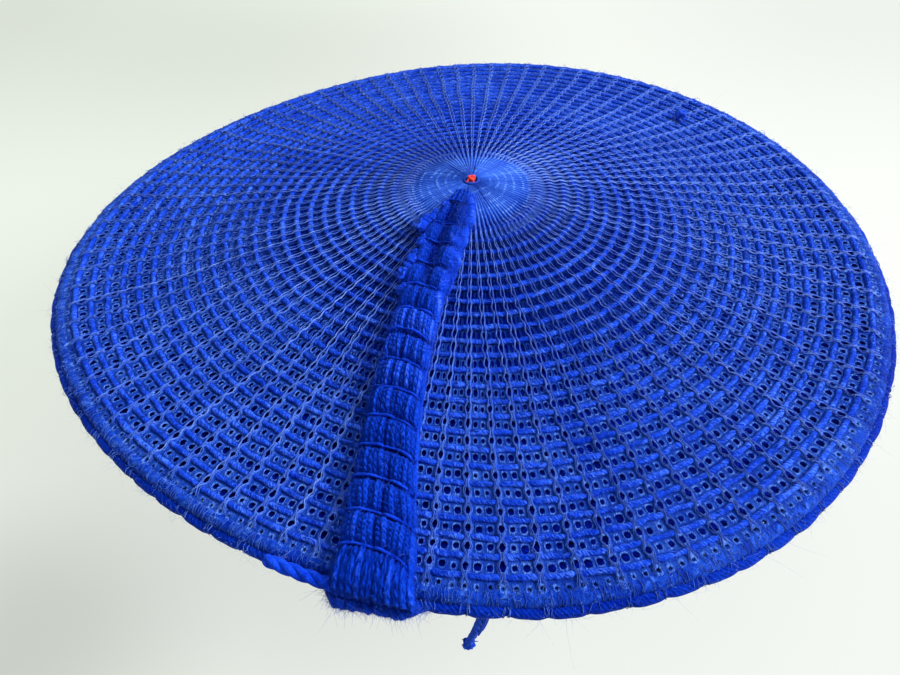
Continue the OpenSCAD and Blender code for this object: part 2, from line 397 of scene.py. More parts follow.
def fibre(name, dark, light, grain=1100, fuzz=0.2, roughness=0.75, bump=0.25, gloss=0.2, plies=0, lay=5.4,
          glint=BLUE_GLINT, deep=DEEP, pale=None, streaks=0.0, combed=0.0):
    """Spun yarn or thread: fine grain, slow changes of colour and a soft sheen.
    plies are twisted once in lay mm, and combed is how far the fibres along a yarn differ."""
    m = Nodes(name)
    fine = m.noise(grain, 4.0)
    slow = m.noise(22, 2.0)
    share = m.ramp(m.plus(m.times(fine, 0.7), m.times(slow, 0.45)), 0.38, 0.78)
    colour = m.mix(share, dark, light)
    shade = m.shade()
    relief = m.times(m.noise(grain * 2.2, 3.0), bump)
    if plies:
        ridge = m.plies(plies, lay)
        # Painted shade: the grooves between the plies are darker
        shade = m.times(shade, m.ramp(ridge, 0.0, 0.7, 0.8, 1.06))
        relief = m.plus(relief, m.times(ridge, 0.22))
    if combed:
        strand = m.combing()
        shade = m.times(shade, m.ramp(strand, 0.3, 0.7, 1 - combed, 1 + combed))
        relief = m.plus(relief, m.times(strand, 0.9))
    if streaks:
        thread = m.streak()
        shade = m.times(shade, m.ramp(thread, 0.0, 1.0, 1 - streaks, 1 + 1.2 * streaks))
        relief = m.plus(relief, m.times(thread, 0.3))
    lifted = m.mix(m.ramp(shade, 1.0, 1.6), colour, pale or light)
    m.set(Base_Color=m.mix(m.ramp(shade, 0.1, 1.0), deep, lifted))
    m.set(Roughness=m.ramp(fine, 0.3, 0.7, roughness - 0.1, roughness + 0.1), Specular_IOR_Level=gloss)
    m.set(Specular_Tint=glint, Sheen_Weight=fuzz, Sheen_Roughness=0.45, Sheen_Tint=glint)
    m.set(Normal=m.bump(relief, MM))
    return m.material


def woven(name, dark, light, pitch=1.1, roughness=0.85, bump=0.2, gloss=0.15):
    """Plain cloth: crossed threads at a pitch in mm, from the position in space."""
    m = Nodes(name)
    place = m.place()
    split = m.add("ShaderNodeSeparateXYZ", {"Vector": place})
    turn = m.math("ARCTAN2", split.outputs[1], split.outputs[0])
    reach = m.math("SQRT", m.plus(m.times(split.outputs[0], split.outputs[0]),
                                  m.times(split.outputs[1], split.outputs[1])))
    wave = TAU / (pitch * MM)
    around = m.math("SINE", m.times(turn, 0.1 * wave))
    along = m.math("SINE", m.times(m.plus(split.outputs[2], reach), wave * 0.7))
    weave = m.times(around, along)
    fine = m.noise(900, 3.0)
    slow = m.noise(18, 2.0)
    share = m.math("ADD", m.ramp(weave, -1, 1, 0.15, 0.55), m.ramp(slow, 0.3, 0.7, -0.1, 0.35), True)
    m.set(Base_Color=m.mix(share, dark, light), Roughness=roughness, Specular_IOR_Level=gloss)
    m.set(Sheen_Weight=0.1, Sheen_Roughness=0.5, Sheen_Tint=BLUE_GLINT, Specular_Tint=BLUE_GLINT)
    relief = m.plus(m.times(weave, 0.6), fine)
    m.set(Normal=m.bump(relief, bump * MM))
    return m.material


def cane_skin(name):
    m = Nodes(name)
    grain = m.noise(420, 5.0, roughness=0.7)
    slow = m.noise(30, 2.0)
    share = m.ramp(m.plus(grain, m.times(slow, 0.5)), 0.5, 1.0)
    m.set(Base_Color=m.mix(share, rgb(150, 112, 62), rgb(214, 182, 122)))
    m.set(Roughness=m.ramp(grain, 0.3, 0.7, 0.45, 0.65), Normal=m.bump(grain, 0.15 * MM))
    return m.material


def drawn_wire(name):
    m = Nodes(name)
    grain = m.noise(1500, 3.0)
    m.set(Base_Color=m.mix(grain, rgb(70, 72, 80), rgb(110, 112, 120)), Metallic=1.0)
    m.set(Roughness=m.ramp(grain, 0.3, 0.7, 0.3, 0.45), Normal=m.bump(grain, 0.03 * MM))
    return m.material


YARN = fibre("yarn_blue", rgb(8, 40, 166), rgb(34, 80, 226), grain=900, bump=0.5, gloss=0.08,
             pale=rgb(74, 118, 234), combed=0.55)
# Painted light: a lighter copy of the yarn, so that the loose end looks lit where it hangs in the rim's
# shade
YARN_TAIL_PAINTED_LIGHT = fibre("yarn_blue_loose_painted_light", rgb(16, 56, 196), rgb(58, 108, 250), grain=900, bump=0.5, gloss=0.08,
                  combed=0.4)
NET = fibre("netting_blue", rgb(30, 74, 200), rgb(80, 124, 240), grain=2600, gloss=1.0, roughness=0.36,
            glint=rgb(150, 184, 255), pale=rgb(138, 174, 252))
FINE_NET = fibre("fine_netting_blue", rgb(16, 54, 162), rgb(50, 96, 208), grain=2600,
                 pale=rgb(98, 140, 232), streaks=0.4)
RIM_NET = fibre("rim_netting_blue", rgb(4, 38, 146), rgb(34, 82, 204), grain=650, bump=0.7,
                pale=rgb(80, 124, 228))
FRIZZ = fibre("frizzy_netting_blue", rgb(38, 82, 198), rgb(106, 148, 242), grain=2600, gloss=0.3)
GATHER = fibre("gathered_netting_blue", rgb(24, 66, 172), rgb(62, 106, 212), grain=1500,
               pale=rgb(110, 152, 238))
RIM_YARN = fibre("rim_yarn_blue", rgb(4, 27, 124), rgb(16, 54, 172), plies=7, lay=14.0, grain=900,
                 gloss=0.1)
SEAM_DEEP = rgb(0, 18, 108)
SEAM = fibre("seam_yarn_blue", rgb(10, 46, 162), rgb(26, 74, 218), grain=900, bump=0.6, gloss=0.08,
             deep=SEAM_DEEP, pale=rgb(64, 104, 242))
SEAM_BRIGHT = fibre("seam_yarn_bright", rgb(10, 46, 182), rgb(34, 82, 236), grain=700, bump=0.8, gloss=0.08,
                    deep=SEAM_DEEP, pale=rgb(90, 128, 250))
HAIR = fibre("loose_fibre_blue", rgb(80, 112, 200), rgb(150, 180, 240), fuzz=0.1)
PIPING = fibre("piping_blue", rgb(8, 26, 150), rgb(30, 70, 230), grain=2200)
TAPE = woven("edge_tape_blue", rgb(6, 22, 130), rgb(26, 60, 215), pitch=0.9)
BAND = woven("headband_navy", rgb(4, 8, 50), rgb(16, 26, 100), pitch=1.3)
LINING = woven("lining_navy", rgb(6, 10, 60), rgb(20, 32, 116), pitch=0.9)
CLOTH = woven("dark_cloth", rgb(0, 20, 128), rgb(0, 32, 168), pitch=1.0)
RED = fibre("red_thread", rgb(190, 24, 30), rgb(252, 84, 80), grain=1600, deep=rgb(90, 4, 10),
            glint=rgb(255, 180, 160))
CANE = cane_skin("split_cane")
WIRE = drawn_wire("hoop_wire")

# ---- Camera, lights and backdrop ----

# The camera stands in front, a little to the seam's right, close above the rim. Its place and its turn,
# in radians, were fitted to the rim's outline in the photo. Lens and sensor are in mm
CAMERA_AZIMUTH = math.radians(8.8)
CAMERA_AWAY = 1.66259 * RIM_R
CAMERA_RISE = 0.65137
CAMERA_YAW, CAMERA_PITCH, CAMERA_ROLL = 0.03354, -0.17958, -0.00069
CAMERA_LENS, CAMERA_SENSOR = 24.96, 36


def make_camera():
    """The camera aims at the rim's centre, then turns by its yaw, pitch and roll."""
    spin = np.array(Matrix.Rotation(CAMERA_AZIMUTH, 3, "Z"))
    place = np.array([0, -math.cos(CAMERA_RISE), math.sin(CAMERA_RISE)]) * CAMERA_AWAY
    forward = -place / np.linalg.norm(place)
    right = np.cross(forward, UP)
    right /= np.linalg.norm(right)
    rows = np.array([right, np.cross(right, forward), forward])
    yaw, pitch, roll = CAMERA_YAW, CAMERA_PITCH, CAMERA_ROLL
    about_y = [[math.cos(yaw), 0, math.sin(yaw)], [0, 1, 0], [-math.sin(yaw), 0, math.cos(yaw)]]
    about_x = [[1, 0, 0], [0, math.cos(pitch), -math.sin(pitch)], [0, math.sin(pitch), math.cos(pitch)]]
    about_z = [[math.cos(roll), -math.sin(roll), 0], [math.sin(roll), math.cos(roll), 0], [0, 0, 1]]
    rows = np.array(about_z) @ np.array(about_x) @ np.array(about_y) @ rows
    right, upward, forward = (spin @ row for row in rows)
    camera = bpy.data.objects.new("camera", bpy.data.cameras.new("camera"))
    bpy.context.scene.collection.objects.link(camera)
    camera.data.sensor_width = CAMERA_SENSOR
    camera.data.lens = CAMERA_LENS
    camera.data.clip_start = 0.01
    world = Matrix((right, upward, -forward)).transposed().to_4x4()
    world.translation = Vector(spin @ place + [0, 0, RIM_H])
    camera.matrix_world = world
    bpy.context.scene.camera = camera


def area_light(name, place, target, size, power):
    light = bpy.data.lights.new(name, "AREA")
    light.shape = "DISK"
    light.size = size
    light.energy = power
    lamp = bpy.data.objects.new(name, light)
    bpy.context.scene.collection.objects.link(lamp)
    lamp.location = place
    lamp.rotation_euler = (Vector(target) - Vector(place)).to_track_quat("-Z", "Y").to_euler()


FLOOR_NEAR, FLOOR_FAR, FLOOR_HALF_WIDTH = -2.5, 1.6, 3
FLOOR_CURVE, WALL_TOP = 0.9, 2.6
# Painted shadows on the floor, as soft grey patches: x, y, reach and darkness
FLOOR_PAINTED_SHADOWS = ((-0.75, 0.55, 0.55, 0.16), (-0.28, 0.48, 0.42, 0.14), (-0.21, -0.25, 0.14, 0.26),
                (0.5, 0.7, 0.6, 0.16), (0.32, -0.1, 0.3, 0.06))


def glowing_floor_with_painted_shadows():
    """A pale matt grey that glows, which washes out the hat's cast shadows, with soft grey patches of
    painted shadow; the glow is a touch greener to the left.
    """
    m = Nodes("glowing_floor_painted_shadows")
    split = m.add("ShaderNodeSeparateXYZ", {"Vector": m.place()})
    glow = 0.80
    # Painted light: the floor glows, and each patch dims the glow as a painted shadow
    for x, y, reach, darkness in FLOOR_PAINTED_SHADOWS:
        across = m.math("SUBTRACT", split.outputs[0], x)
        along = m.math("SUBTRACT", split.outputs[1], y)
        squares = m.plus(m.times(across, across), m.times(along, along))
        inputs = {"Value": m.math("SQRT", squares), "From Min": reach, "From Max": 0.0}
        near = m.add("ShaderNodeMapRange", inputs, interpolation_type="SMOOTHSTEP")
        glow = m.math("SUBTRACT", glow, m.times(near.outputs[0], darkness))
    m.set(Base_Color=rgb(104, 107, 103), Roughness=0.9, Specular_IOR_Level=0.05)
    # Painted light: the glow is a touch greener to the left
    glow_tint = m.mix(m.ramp(split.outputs[0], -0.35, 0.25), rgb(234, 241, 230), rgb(240, 242, 238))
    m.set(Emission_Color=glow_tint, Emission_Strength=glow)
    return m.material


def make_stage():
    """A pale floor that curves up into a wall behind."""
    bend = FLOOR_FAR - FLOOR_CURVE
    profile = [(FLOOR_NEAR, 0.0), (bend, 0.0)]
    for i in range(1, 13):
        a = i / 12 * math.pi / 2
        profile.append((bend + FLOOR_CURVE * math.sin(a), FLOOR_CURVE * (1 - math.cos(a))))
    profile.append((FLOOR_FAR, WALL_TOP))
    across = np.linspace(-FLOOR_HALF_WIDTH, FLOOR_HALF_WIDTH, 3)
    points = np.array([[[x, y, z] for x in across] for y, z in profile])
    spin = np.array(Matrix.Rotation(CAMERA_AZIMUTH, 3, "Z"))
    surface = Strands()
    surface.grid((points @ spin.T)[:, ::-1])
    mesh = bpy.data.meshes.new("floor")
    faces = np.concatenate(surface.faces)
    mesh.from_pydata(np.concatenate(surface.points).tolist(), [], faces.tolist())
    mesh.shade_smooth()
    floor = bpy.data.objects.new("floor", mesh)
    bpy.context.scene.collection.objects.link(floor)
    mesh.materials.append(glowing_floor_with_painted_shadows())


def make_lights():
    """A window at the right, and a wide pale light from above."""
    middle = (0, 0, RIM_H)
    area_light("window", (1.9, 0.2, 1.4), middle, 1.2, 92)
    area_light("ceiling", (0.5, 0.5, 2.2), middle, 2.2, 24)
    world = bpy.data.worlds.new("world")
    world.use_nodes = True
    world.node_tree.nodes["Background"].inputs["Color"].default_value = (0.93, 0.96, 0.94, 1)
    world.node_tree.nodes["Background"].inputs["Strength"].default_value = 0.35
    bpy.context.scene.world = world
    bpy.context.scene.view_settings.view_transform = "Standard"


# ---- Netting ----

# A cell of netting's outline, in twelve points about its hole
CELL_EDGE = np.array([(-3, -3), (-1, -3), (1, -3), (3, -3), (3, -1), (3, 1),
                      (3, 3), (1, 3), (-1, 3), (-3, 3), (-3, 1), (-3, -1)]) / 6
HOLE_TURN = np.arctan2(CELL_EDGE[:, 1], CELL_EDGE[:, 0])


RIB_COLUMNS = np.arange(0, COLUMNS, COLUMNS_PER_RIB)


def over_yarn(phase):
    """1 on a ring of yarn, 0 half-way to the next."""
    return 0.5 + 0.5 * np.cos(TAU * phase)


def rib_share(column):
    """1 along the middle of a main rib, which is every third column, and 0 between ribs."""
    near = np.abs((column + COLUMNS_PER_RIB / 2) % COLUMNS_PER_RIB - COLUMNS_PER_RIB / 2)
    return smooth((0.5 - near) / 0.3)


def net_phi(column, phase):
    """The azimuth of a column, with the netting's small wandering."""
    turn = TAU * column / COLUMNS
    wander = 0.10 * np.sin(3 * turn + 0.7 * phase) + 0.07 * np.sin(11 * turn + 0.9 * phase)
    return SEAM_AZIMUTH + TAU * (column + 0.5 + wander) / COLUMNS


def rib_turn(phi):
    """How far an azimuth is from the nearest rib, in ribs."""
    return ((phi - net_phi(0, 0)) * RIBS / TAU + 0.5) % 1 - 0.5


def rib_wave(phi, shift):
    """1 along each rib and 0 half-way to the next, moved round by an angle."""
    return 0.5 + 0.5 * np.cos(RIBS * (phi - net_phi(0, 0)) + shift)


def net_cells(place, lift, columns, rows, hole, tones, slot_shade):
    """Netting as cells that each have a hole. place gives points from phase, azimuth and lift.
    hole gives its half sizes, in columns and in rings, tones are its loops, and the last argument darkens
    them with painted shade."""
    strands = Strands()
    column, row = across_and_along(columns, rows)
    wide, high = hole(row)
    size = ((1 + 0.17 * rng.normal(size=column.shape)) * (0.84 + 0.22 * rib_share(column)))[..., None]
    aside, along = 0.035 * rng.normal(size=(2, *column.shape, 1))
    grain = 1 + 0.12 * rng.normal(size=(*column.shape, 1))
    loops = []
    for share, dip, tone in tones:
        hole_c = wide[..., None] * size * np.cos(HOLE_TURN) + aside
        hole_u = high[..., None] * size * np.sin(HOLE_TURN) + along
        c = column[..., None] + hole_c * (1 - share) + CELL_EDGE[:, 0] * share
        phase = row[..., None] + 0.5 + hole_u * (1 - share) + CELL_EDGE[:, 1] * share
        points = place(phase, net_phi(c, phase), lift(c, phase) + dip)
        # Painted shade: the loops are darker near the point
        tone = tone * (0.86 + 0.24 * rib_share(c)) * (1 - 0.42 * slot_shade(phase))
        loops.append((points, tone * grain, np.stack([c, phase, 0 * c], -1)))
    points, shades, lays = (np.stack(part, 2) for part in zip(*loops))
    base = strands._take(points, shades, lays)
    index = base + np.arange(shades.size).reshape(shades.shape)
    inner, outer = index[:, :, :-1], index[:, :, 1:]
    quads = np.stack([inner, outer, np.roll(outer, -1, -1), np.roll(inner, -1, -1)], -1)
    strands.faces.append(quads.reshape(-1, 4))
    return strands


def lens(phase, low, high, length=0.6):
    """How far out a thread runs, in columns: close together under the yarn, and apart round a hole."""
    inside = np.abs((phase + 0.5) % 1 - 0.5)
    t = np.clip((inside - (0.5 - length / 2)) / (length / 2), 0, 1)
    return low + (high - low) * np.sin(t * math.pi / 2)


# ---- Crown: netting ----

RIB_OVER = 2.8 * MM
RIB_BETWEEN = 2.1 * MM
FINE_UNDER = 1.0 * MM
FINE_BETWEEN = 1.8 * MM
OPEN_FROM, OPEN_BY = 76 * MM, 140 * MM
CROWN_ROWS = int((BINDING_R - FIRST_RING_R) / RING_PITCH) + 1
# A cell's loops, from its hole outwards: share of the way to the cell's edge, height and tone
# The light second loop is the thread round each hole; the outer loop's darker tone is painted shade beside
# the yarn
CROWN_LOOPS = ((0.0, -0.3 * MM, 0.9), (0.16, 0.28 * MM, 1.55), (0.38, 0.0, 0.86), (1.0, -0.05 * MM, 0.78))
# Two sets of radial threads. Each has how far aside it runs under the yarn and round a hole, in columns,
# near the rim and then near the point, and how far above the ribs it lies, on the yarn and between rings
CROWN_THREADS = (((0.06, 0.31), (0.18, 0.42), 0.22 * MM, 0.3 * MM),
                 ((0.17, 0.44), (0.32, 0.54), 0.05 * MM, 0.1 * MM))
THREADS_FROM, THREAD_STEPS = -1.5, 5


def crown_place(phase, phi, lift):
    return crown_point(FIRST_RING_R + RING_PITCH * phase, phi, lift)


def openness(phase):
    """0 near the point, where the netting is drawn into slots, and 1 towards the rim."""
    return smooth((FIRST_RING_R + RING_PITCH * phase - OPEN_FROM) / (OPEN_BY - OPEN_FROM))


def settle(phase):
    """The netting comes down to the binding after the last ring."""
    return 1 - 0.6 * smooth((phase - CROWN_ROWS + 1.1) / 0.9)


def net_lift(column, phase, outer):
    """How far the netting stands off the cloth: ribs over the yarn, and the rest under it."""
    over = over_yarn(phase)
    fine = FINE_BETWEEN + (FINE_UNDER - FINE_BETWEEN) * over - 1.1 * MM * (1 - outer)
    rib = RIB_BETWEEN + (RIB_OVER - RIB_BETWEEN) * over
    return fine + (rib - fine) * rib_share(column) * outer


def crown_lift(column, phase):
    return net_lift(column, phase, openness(phase)) * settle(phase)


def crown_hole(phase):
    """Round holes near the rim, and narrow ones near the point."""
    outer = openness(phase)
    last = 1 - 0.5 * (phase > CROWN_ROWS - 1.6)
    return (0.37 - 0.05 * outer) * last, (0.43 - 0.23 * outer) * last


# Painted shade: the netting's cells are darker near the point, where they sink between the ribs
def crown_slot_shade(phase):
    return 1 - openness(phase)


def crown_threads(strands, side, reach, slot_reach, width, lifts, tone):
    """One radial thread for each rib, on one side of it, and further out near the point."""
    phase = np.arange(THREADS_FROM, CROWN_ROWS - 0.3, 1 / THREAD_STEPS)
    r = FIRST_RING_R + phase * RING_PITCH
    inner = 1 - smooth((r - 95 * MM) / (70 * MM))
    aside = lens(phase, *reach) * (1 - inner) + lens(phase, *slot_reach, 0.9) * inner
    wave = 0.10 * inner * np.sin(TAU * phase + 0.5)
    column = RIB_COLUMNS[:, None] + side * aside + wave + rng.normal(0, 0.035, (RIBS, len(phase)))
    lift = lifts[1] + (lifts[0] - lifts[1]) * over_yarn(phase) + rng.normal(0, 0.06 * MM, column.shape)
    lift = (lift - 0.9 * MM * smooth((34 * MM - r) / (8 * MM))) * settle(phase)
    paths = crown_point(r + 0 * column, net_phi(column, phase), lift)
    slim = np.clip(0.42 + 0.58 * r / (150 * MM), 0, 1.05)
    tone = tone * (0.88 + 0.18 * inner + 0.16 * smooth((72 * MM - r) / (25 * MM)))
    shade = tone * (1 + 0.15 * rng.normal(size=(RIBS, 1)))
    shade = shade * (1 + 0.12 * rng.normal(size=column.shape))
    strands.tubes(paths, UP, width * slim + 0 * column, None, 3, shade=shade)


def make_crown_net():
    """The netting's cells, in two halves."""
    for i, columns in enumerate(np.array_split(np.arange(COLUMNS), 2)):
        rows = np.arange(-1, CROWN_ROWS)
        sheet = net_cells(crown_place, crown_lift, columns, rows, crown_hole, CROWN_LOOPS, crown_slot_shade)
        sheet.build(f"crown_net_mesh_{i + 1}", FINE_NET, "netting", "crown_net")


def make_crown_ribs():
    """The threads that lie over the yarn and make the netting's ribs."""
    for i, (reach, slot_reach, over, between) in enumerate(CROWN_THREADS):
        threads = Strands()
        width = (0.21 - 0.03 * i) * MM
        lifts = (RIB_OVER + over, RIB_BETWEEN + between)
        for side in (-1, 1):
            crown_threads(threads, side, reach, slot_reach, width, lifts, 1.02 - 0.1 * i)
        threads.build(f"crown_net_ribs_{i + 1}", NET, "netting")


# ---- Crown: rings of yarn ----

YARN_R = 1.2 * MM
YARN_UNDER = 1.1 * MM
YARN_OVER = 1.65 * MM


def ring_of_yarn(strands, place, radius, i, step):
    """A closed ring that dips under each main rib."""
    points = int(TAU * radius / step)
    phi = SEAM_AZIMUTH + round_turn(points)
    column = (phi - net_phi(0, i)) * COLUMNS / TAU
    column = column - (net_phi(column, i) - net_phi(0, i) - (phi - net_phi(0, i))) * COLUMNS / TAU
    rib_gap = TAU * radius / RIBS
    near = np.abs((column / COLUMNS_PER_RIB + 0.5) % 1 - 0.5) * rib_gap
    rise = smooth((near - 0.1 * MM) / min(1.6 * MM, 0.27 * rib_gap))
    close = float(1 - smooth((rib_gap - 6.2 * MM) / (4.5 * MM)))
    deep = float(smooth((radius - 40 * MM) / (32 * MM)))
    aside = 0.3 * MM * ripple(phi, (9, 17, 31, 47, 91, 135), 100 + i) + rng.normal(0, 0.1 * MM, points)
    shape = 1 + 0.11 * ripple(phi, (23, 41, 77, 92, 139), 200 + i) + 0.08 * rng.normal(size=points)
    thick = YARN_R * shape * (0.82 + 0.18 * np.maximum(rise, close))
    level = rise * (1 - close) + 0.5 * close - 0.6 * (1 - deep)
    path = place(i, phi, YARN_UNDER + (YARN_OVER - YARN_UNDER) * level, aside)
    tone = 1.0 + 0.13 * ripple(phi, (5, 13, 29, 92, 151), 300 + i)
    # Painted shade: the yarn is darker where it dips under a rib, and near the point, where it sinks lower
    tone = tone * (0.72 + 0.28 * np.maximum(rise, close))
    tone = tone * (0.45 + 0.55 * deep) * (1 + 0.06 * rng.normal(size=points))
    strands.tubes(path, UP, thick * (1 + 0.12 * close), thick * (1 - 0.12 * close), 8, True, tone)


def make_crown_rings():
    """The darned rings, in two pieces of every other ring."""
    parts = [Strands(), Strands()]

    def place(i, phi, lift, aside):
        return crown_point(FIRST_RING_R + i * RING_PITCH + aside, phi, lift)

    for i in range(CROWN_ROWS):
        ring_of_yarn(parts[i % 2], place, FIRST_RING_R + i * RING_PITCH, i, 1.3 * MM)
    parts[0].build("crown_ring_yarns_1", YARN, "yarn", "crown_ring_yarns")
    parts[1].build("crown_ring_yarns_2", YARN, "yarn")


def make_ring_wisps():
    """Fine stray fibres that lie along the rings, more of them towards the rim."""
    wisps = Strands()
    count = 8000
    ring = rng.integers(0, CROWN_ROWS, count)
    ring = np.maximum(ring, rng.integers(0, CROWN_ROWS, count))
    phi = rng.uniform(0, TAU, count)
    between = np.abs(rib_turn(phi)) > 0.2
    ring, phi = ring[between], phi[between]
    r = FIRST_RING_R + ring * RING_PITCH
    s = np.linspace(-1, 1, 5)
    reach = rng.gamma(4, 0.4 * MM, (len(r), 1))
    aside = rng.normal(0, 0.75 * MM, (len(r), 1)) + rng.normal(0, 0.45 * MM, (len(r), 1)) * s
    lift = YARN_OVER + YARN_R * (1.05 - 0.5 * (aside / YARN_R) ** 2) - 0.25 * MM * s**2
    lift = (lift + rng.normal(0, 0.1 * MM, aside.shape)) * settle(ring)[:, None]
    paths = crown_point(r[:, None] + aside, phi[:, None] + reach * s / r[:, None], lift)
    tone = rng.uniform(0.4, 1.6, (len(r), 1)) + 0 * s
    wisps.tubes(paths, UP, 0.12 * MM * (1.1 - s**2) + 0 * tone, None, 3, shade=tone)
    wisps.build("crown_ring_wisps", YARN, "yarn")


# ---- Crown: gathered centre and the cloth beneath ----

GATHER_R = 42 * MM
POINT_HOLE_R = 2.6 * MM
GATHER_RINGS = np.array([9.5, 13.5, 18, 22.5, 27, 31, 35]) * MM
GATHER_SLITS = 11


def make_gather():
    """The netting drawn together round the point: radial pleats and broken ridges, which open into ribs."""
    strands = Strands()
    turns = RIBS * 8
    phi = net_phi(np.arange(turns) * COLUMNS / turns, 0)
    r = np.linspace(POINT_HOLE_R, GATHER_R, 110)
    r_grid, phi_grid = across_and_along(r, phi)
    swing = 0.25 * np.sin(r_grid * 500 + 3 * ripple(phi_grid, (3, 7, 12), 8))
    rib = rib_wave(phi_grid, swing)
    open_up = smooth((r_grid - 22 * MM) / (15 * MM))
    slit = np.zeros_like(r_grid)
    random = np.random.default_rng(17)
    places = random.uniform(0, TAU, GATHER_SLITS)
    reaches = random.uniform(11 * MM, 28 * MM, GATHER_SLITS)
    for at, reach in zip(places, reaches):
        near = (phi_grid - at + math.pi) % TAU - math.pi
        wide = bell(near * r_grid, 0.32 * MM)
        wide = wide * smooth((reach - r_grid) / (5 * MM)) * smooth((r_grid - 4 * MM) / (4 * MM))
        slit = np.maximum(slit, wide)
    ridge = np.zeros_like(r_grid)
    for i, ring in enumerate(GATHER_RINGS):
        broken = np.clip(0.45 + 0.7 * ripple(phi_grid, (2, 5, 9, 31, 53), 60 + i), 0, 1.2)
        wavy = ring + 0.7 * MM * ripple(phi_grid, (2, 3, 5), 70 + i)
        ridge = ridge + broken * bell(r_grid - wavy, 0.55 * MM)
    lift = 2.3 * MM - 2.6 * MM * smooth((r_grid - 22 * MM) / (20 * MM))
    lift = lift + rib * (0.35 * MM + 1.1 * MM * open_up) + 0.35 * MM * ridge - 0.7 * MM * slit
    lift = lift - 1.2 * MM * smooth((6 * MM - r_grid) / (4 * MM))
    lift = lift + 0.05 * MM * rng.normal(size=r_grid.shape)
    fine = smooth((r_grid - 5 * MM) / (10 * MM))
    # Painted light and shade: the pleats' crests and the broken ridges are lighter, the slits and the gaps
    # between the opening ribs darker
    tone = 0.85 + 0.62 * (rib - 0.6) * fine + 0.6 * ridge * (0.4 + 0.6 * rib)
    tone = tone - 0.55 * open_up * (1 - rib) - 0.45 * slit
    tone = tone + 0.10 * ripple(phi_grid, (4, 9, 23, 41), 9) + 0.08 * rng.normal(size=r_grid.shape)
    strands.grid(crown_point(r_grid, phi_grid, lift), np.clip(tone, 0.05, 1.6), wrap_v=True)
    strands.build("crown_net_gather", GATHER, "netting")


CLOTH_THICK = 1.2 * MM
CROWN_SAG, SIDE_SAG = 0.9 * MM, 0.7 * MM


def between_spokes(phi):
    """0 over each cane spoke or stay, and 1 half-way to the next."""
    return 0.5 - 0.5 * np.cos(SPOKES * phi + math.pi)


def make_crown_cloth():
    """The stiff dark cloth under the netting, sagging a little between the cane spokes."""
    phi = round_turn(240)
    r = np.linspace(0.5 * MM, SHELL_R, 60)
    r_grid, phi_grid = across_and_along(r, phi)
    lift = -CROWN_SAG * between_spokes(phi_grid) * smooth(r_grid / SHELL_R) - 0.1 * MM
    top = crown_point(r_grid, phi_grid, lift)
    below = crown_point(r_grid, phi_grid, lift - CLOTH_THICK)
    strands = Strands()
    strands.slab(top, below)
    cloth = strands.build("crown_cloth", CLOTH, "stiff_cloth", "crown_foundation")


# ---- Rim: binding and cord ----

WRAPS_PER_COLUMN = 5
CURLS_PER_RIB = 11
TIES_PER_RIB = 5
# Threads over the rim run straight up in places, so their tubes are laid out from a line that leans a little
NEARLY_UP = (0.01, 0, 1)


def torus_line(phi, at_r, at_z, spread, turn):
    """Points round a ring-shaped roll: turn is 0 outwards and a quarter turn at the top."""
    r = at_r + spread * np.cos(turn)
    z = at_z + spread * np.sin(turn)
    return polar(r, phi, z)


def make_rim_binding():
    """Netting rolled over the hoop, lumpy where each rib goes over it."""
    strands = Strands()
    phi = SEAM_AZIMUTH + round_turn(RIBS * 12)
    turn = round_turn(14)
    phi_grid, turn_grid = across_and_along(phi, turn)
    rib = rib_wave(phi_grid, 0.6)
    lumps = ripple(phi_grid + 0.02 * turn_grid, (31, 57, 83, 131, 203), 11)
    spread = BINDING_HALF * (1.02 + 0.08 * rib + 0.05 * lumps + 0.04 * rng.normal(size=phi_grid.shape))
    tone = 0.68 + 0.2 * rib + 0.15 * lumps + 0.24 * rng.normal(size=phi_grid.shape)
    roll = torus_line(phi_grid, BINDING_AT, BINDING_Z, spread, turn_grid)
    strands.grid(roll, np.clip(tone, 0.3, 1.3), True, True)
    strands.build("rim_binding_roll", RIM_NET, "netting", "rim_binding")


def make_binding_threads():
    """The netting's threads, which go over the rim side by side."""
    wraps = Strands()
    count = COLUMNS * WRAPS_PER_COLUMN
    start = net_phi(np.arange(count) / WRAPS_PER_COLUMN + rng.normal(0, 0.12, count), 0)[:, None]
    s = np.linspace(0, 1, 9)
    lean = rng.normal(0, 1.8 * MM, (count, 1)) / RIM_R
    turn = math.pi * (1.05 - 1.35 * s) + rng.normal(0, 0.12, (count, 1))
    spread = BINDING_HALF + 0.25 * MM + rng.normal(0, 0.12 * MM, (count, 9))
    wander = rng.normal(0, 0.3 * MM, (count, 9)) / RIM_R
    paths = torus_line(start + lean * s + wander, BINDING_AT, BINDING_Z, spread, turn)
    tone = 1.0 + 0.25 * rng.normal(size=(count, 1)) + 0 * spread
    wraps.tubes(paths, NEARLY_UP, 0.13 * MM, None, 3, shade=np.clip(0.62 * tone, 0.2, 1.1))
    wraps.build("rim_binding_threads", FRIZZ, "netting")


def make_binding_frizz():
    """Curled threads that stand off the rim, in a loose tuft at each rib."""
    frizz = Strands()
    count = RIBS * CURLS_PER_RIB
    rib = np.repeat(RIB_COLUMNS, CURLS_PER_RIB)
    aside = rng.normal(0, 1.9 * MM, count)
    aside = aside + rng.normal(0, 1.2 * MM, RIBS)[rib // COLUMNS_PER_RIB]
    spot = net_phi(rib, 0) + aside / RIM_R
    turn = rng.uniform(0.15, 0.85, count) * math.pi
    roots = torus_line(spot, BINDING_AT, BINDING_Z, BINDING_HALF + 0.25 * MM, turn)
    curls(frizz, roots, rng.gamma(5, 0.15 * MM, count), 0.1 * MM)
    frizz.build("rim_binding_frizz", FRIZZ, "netting")


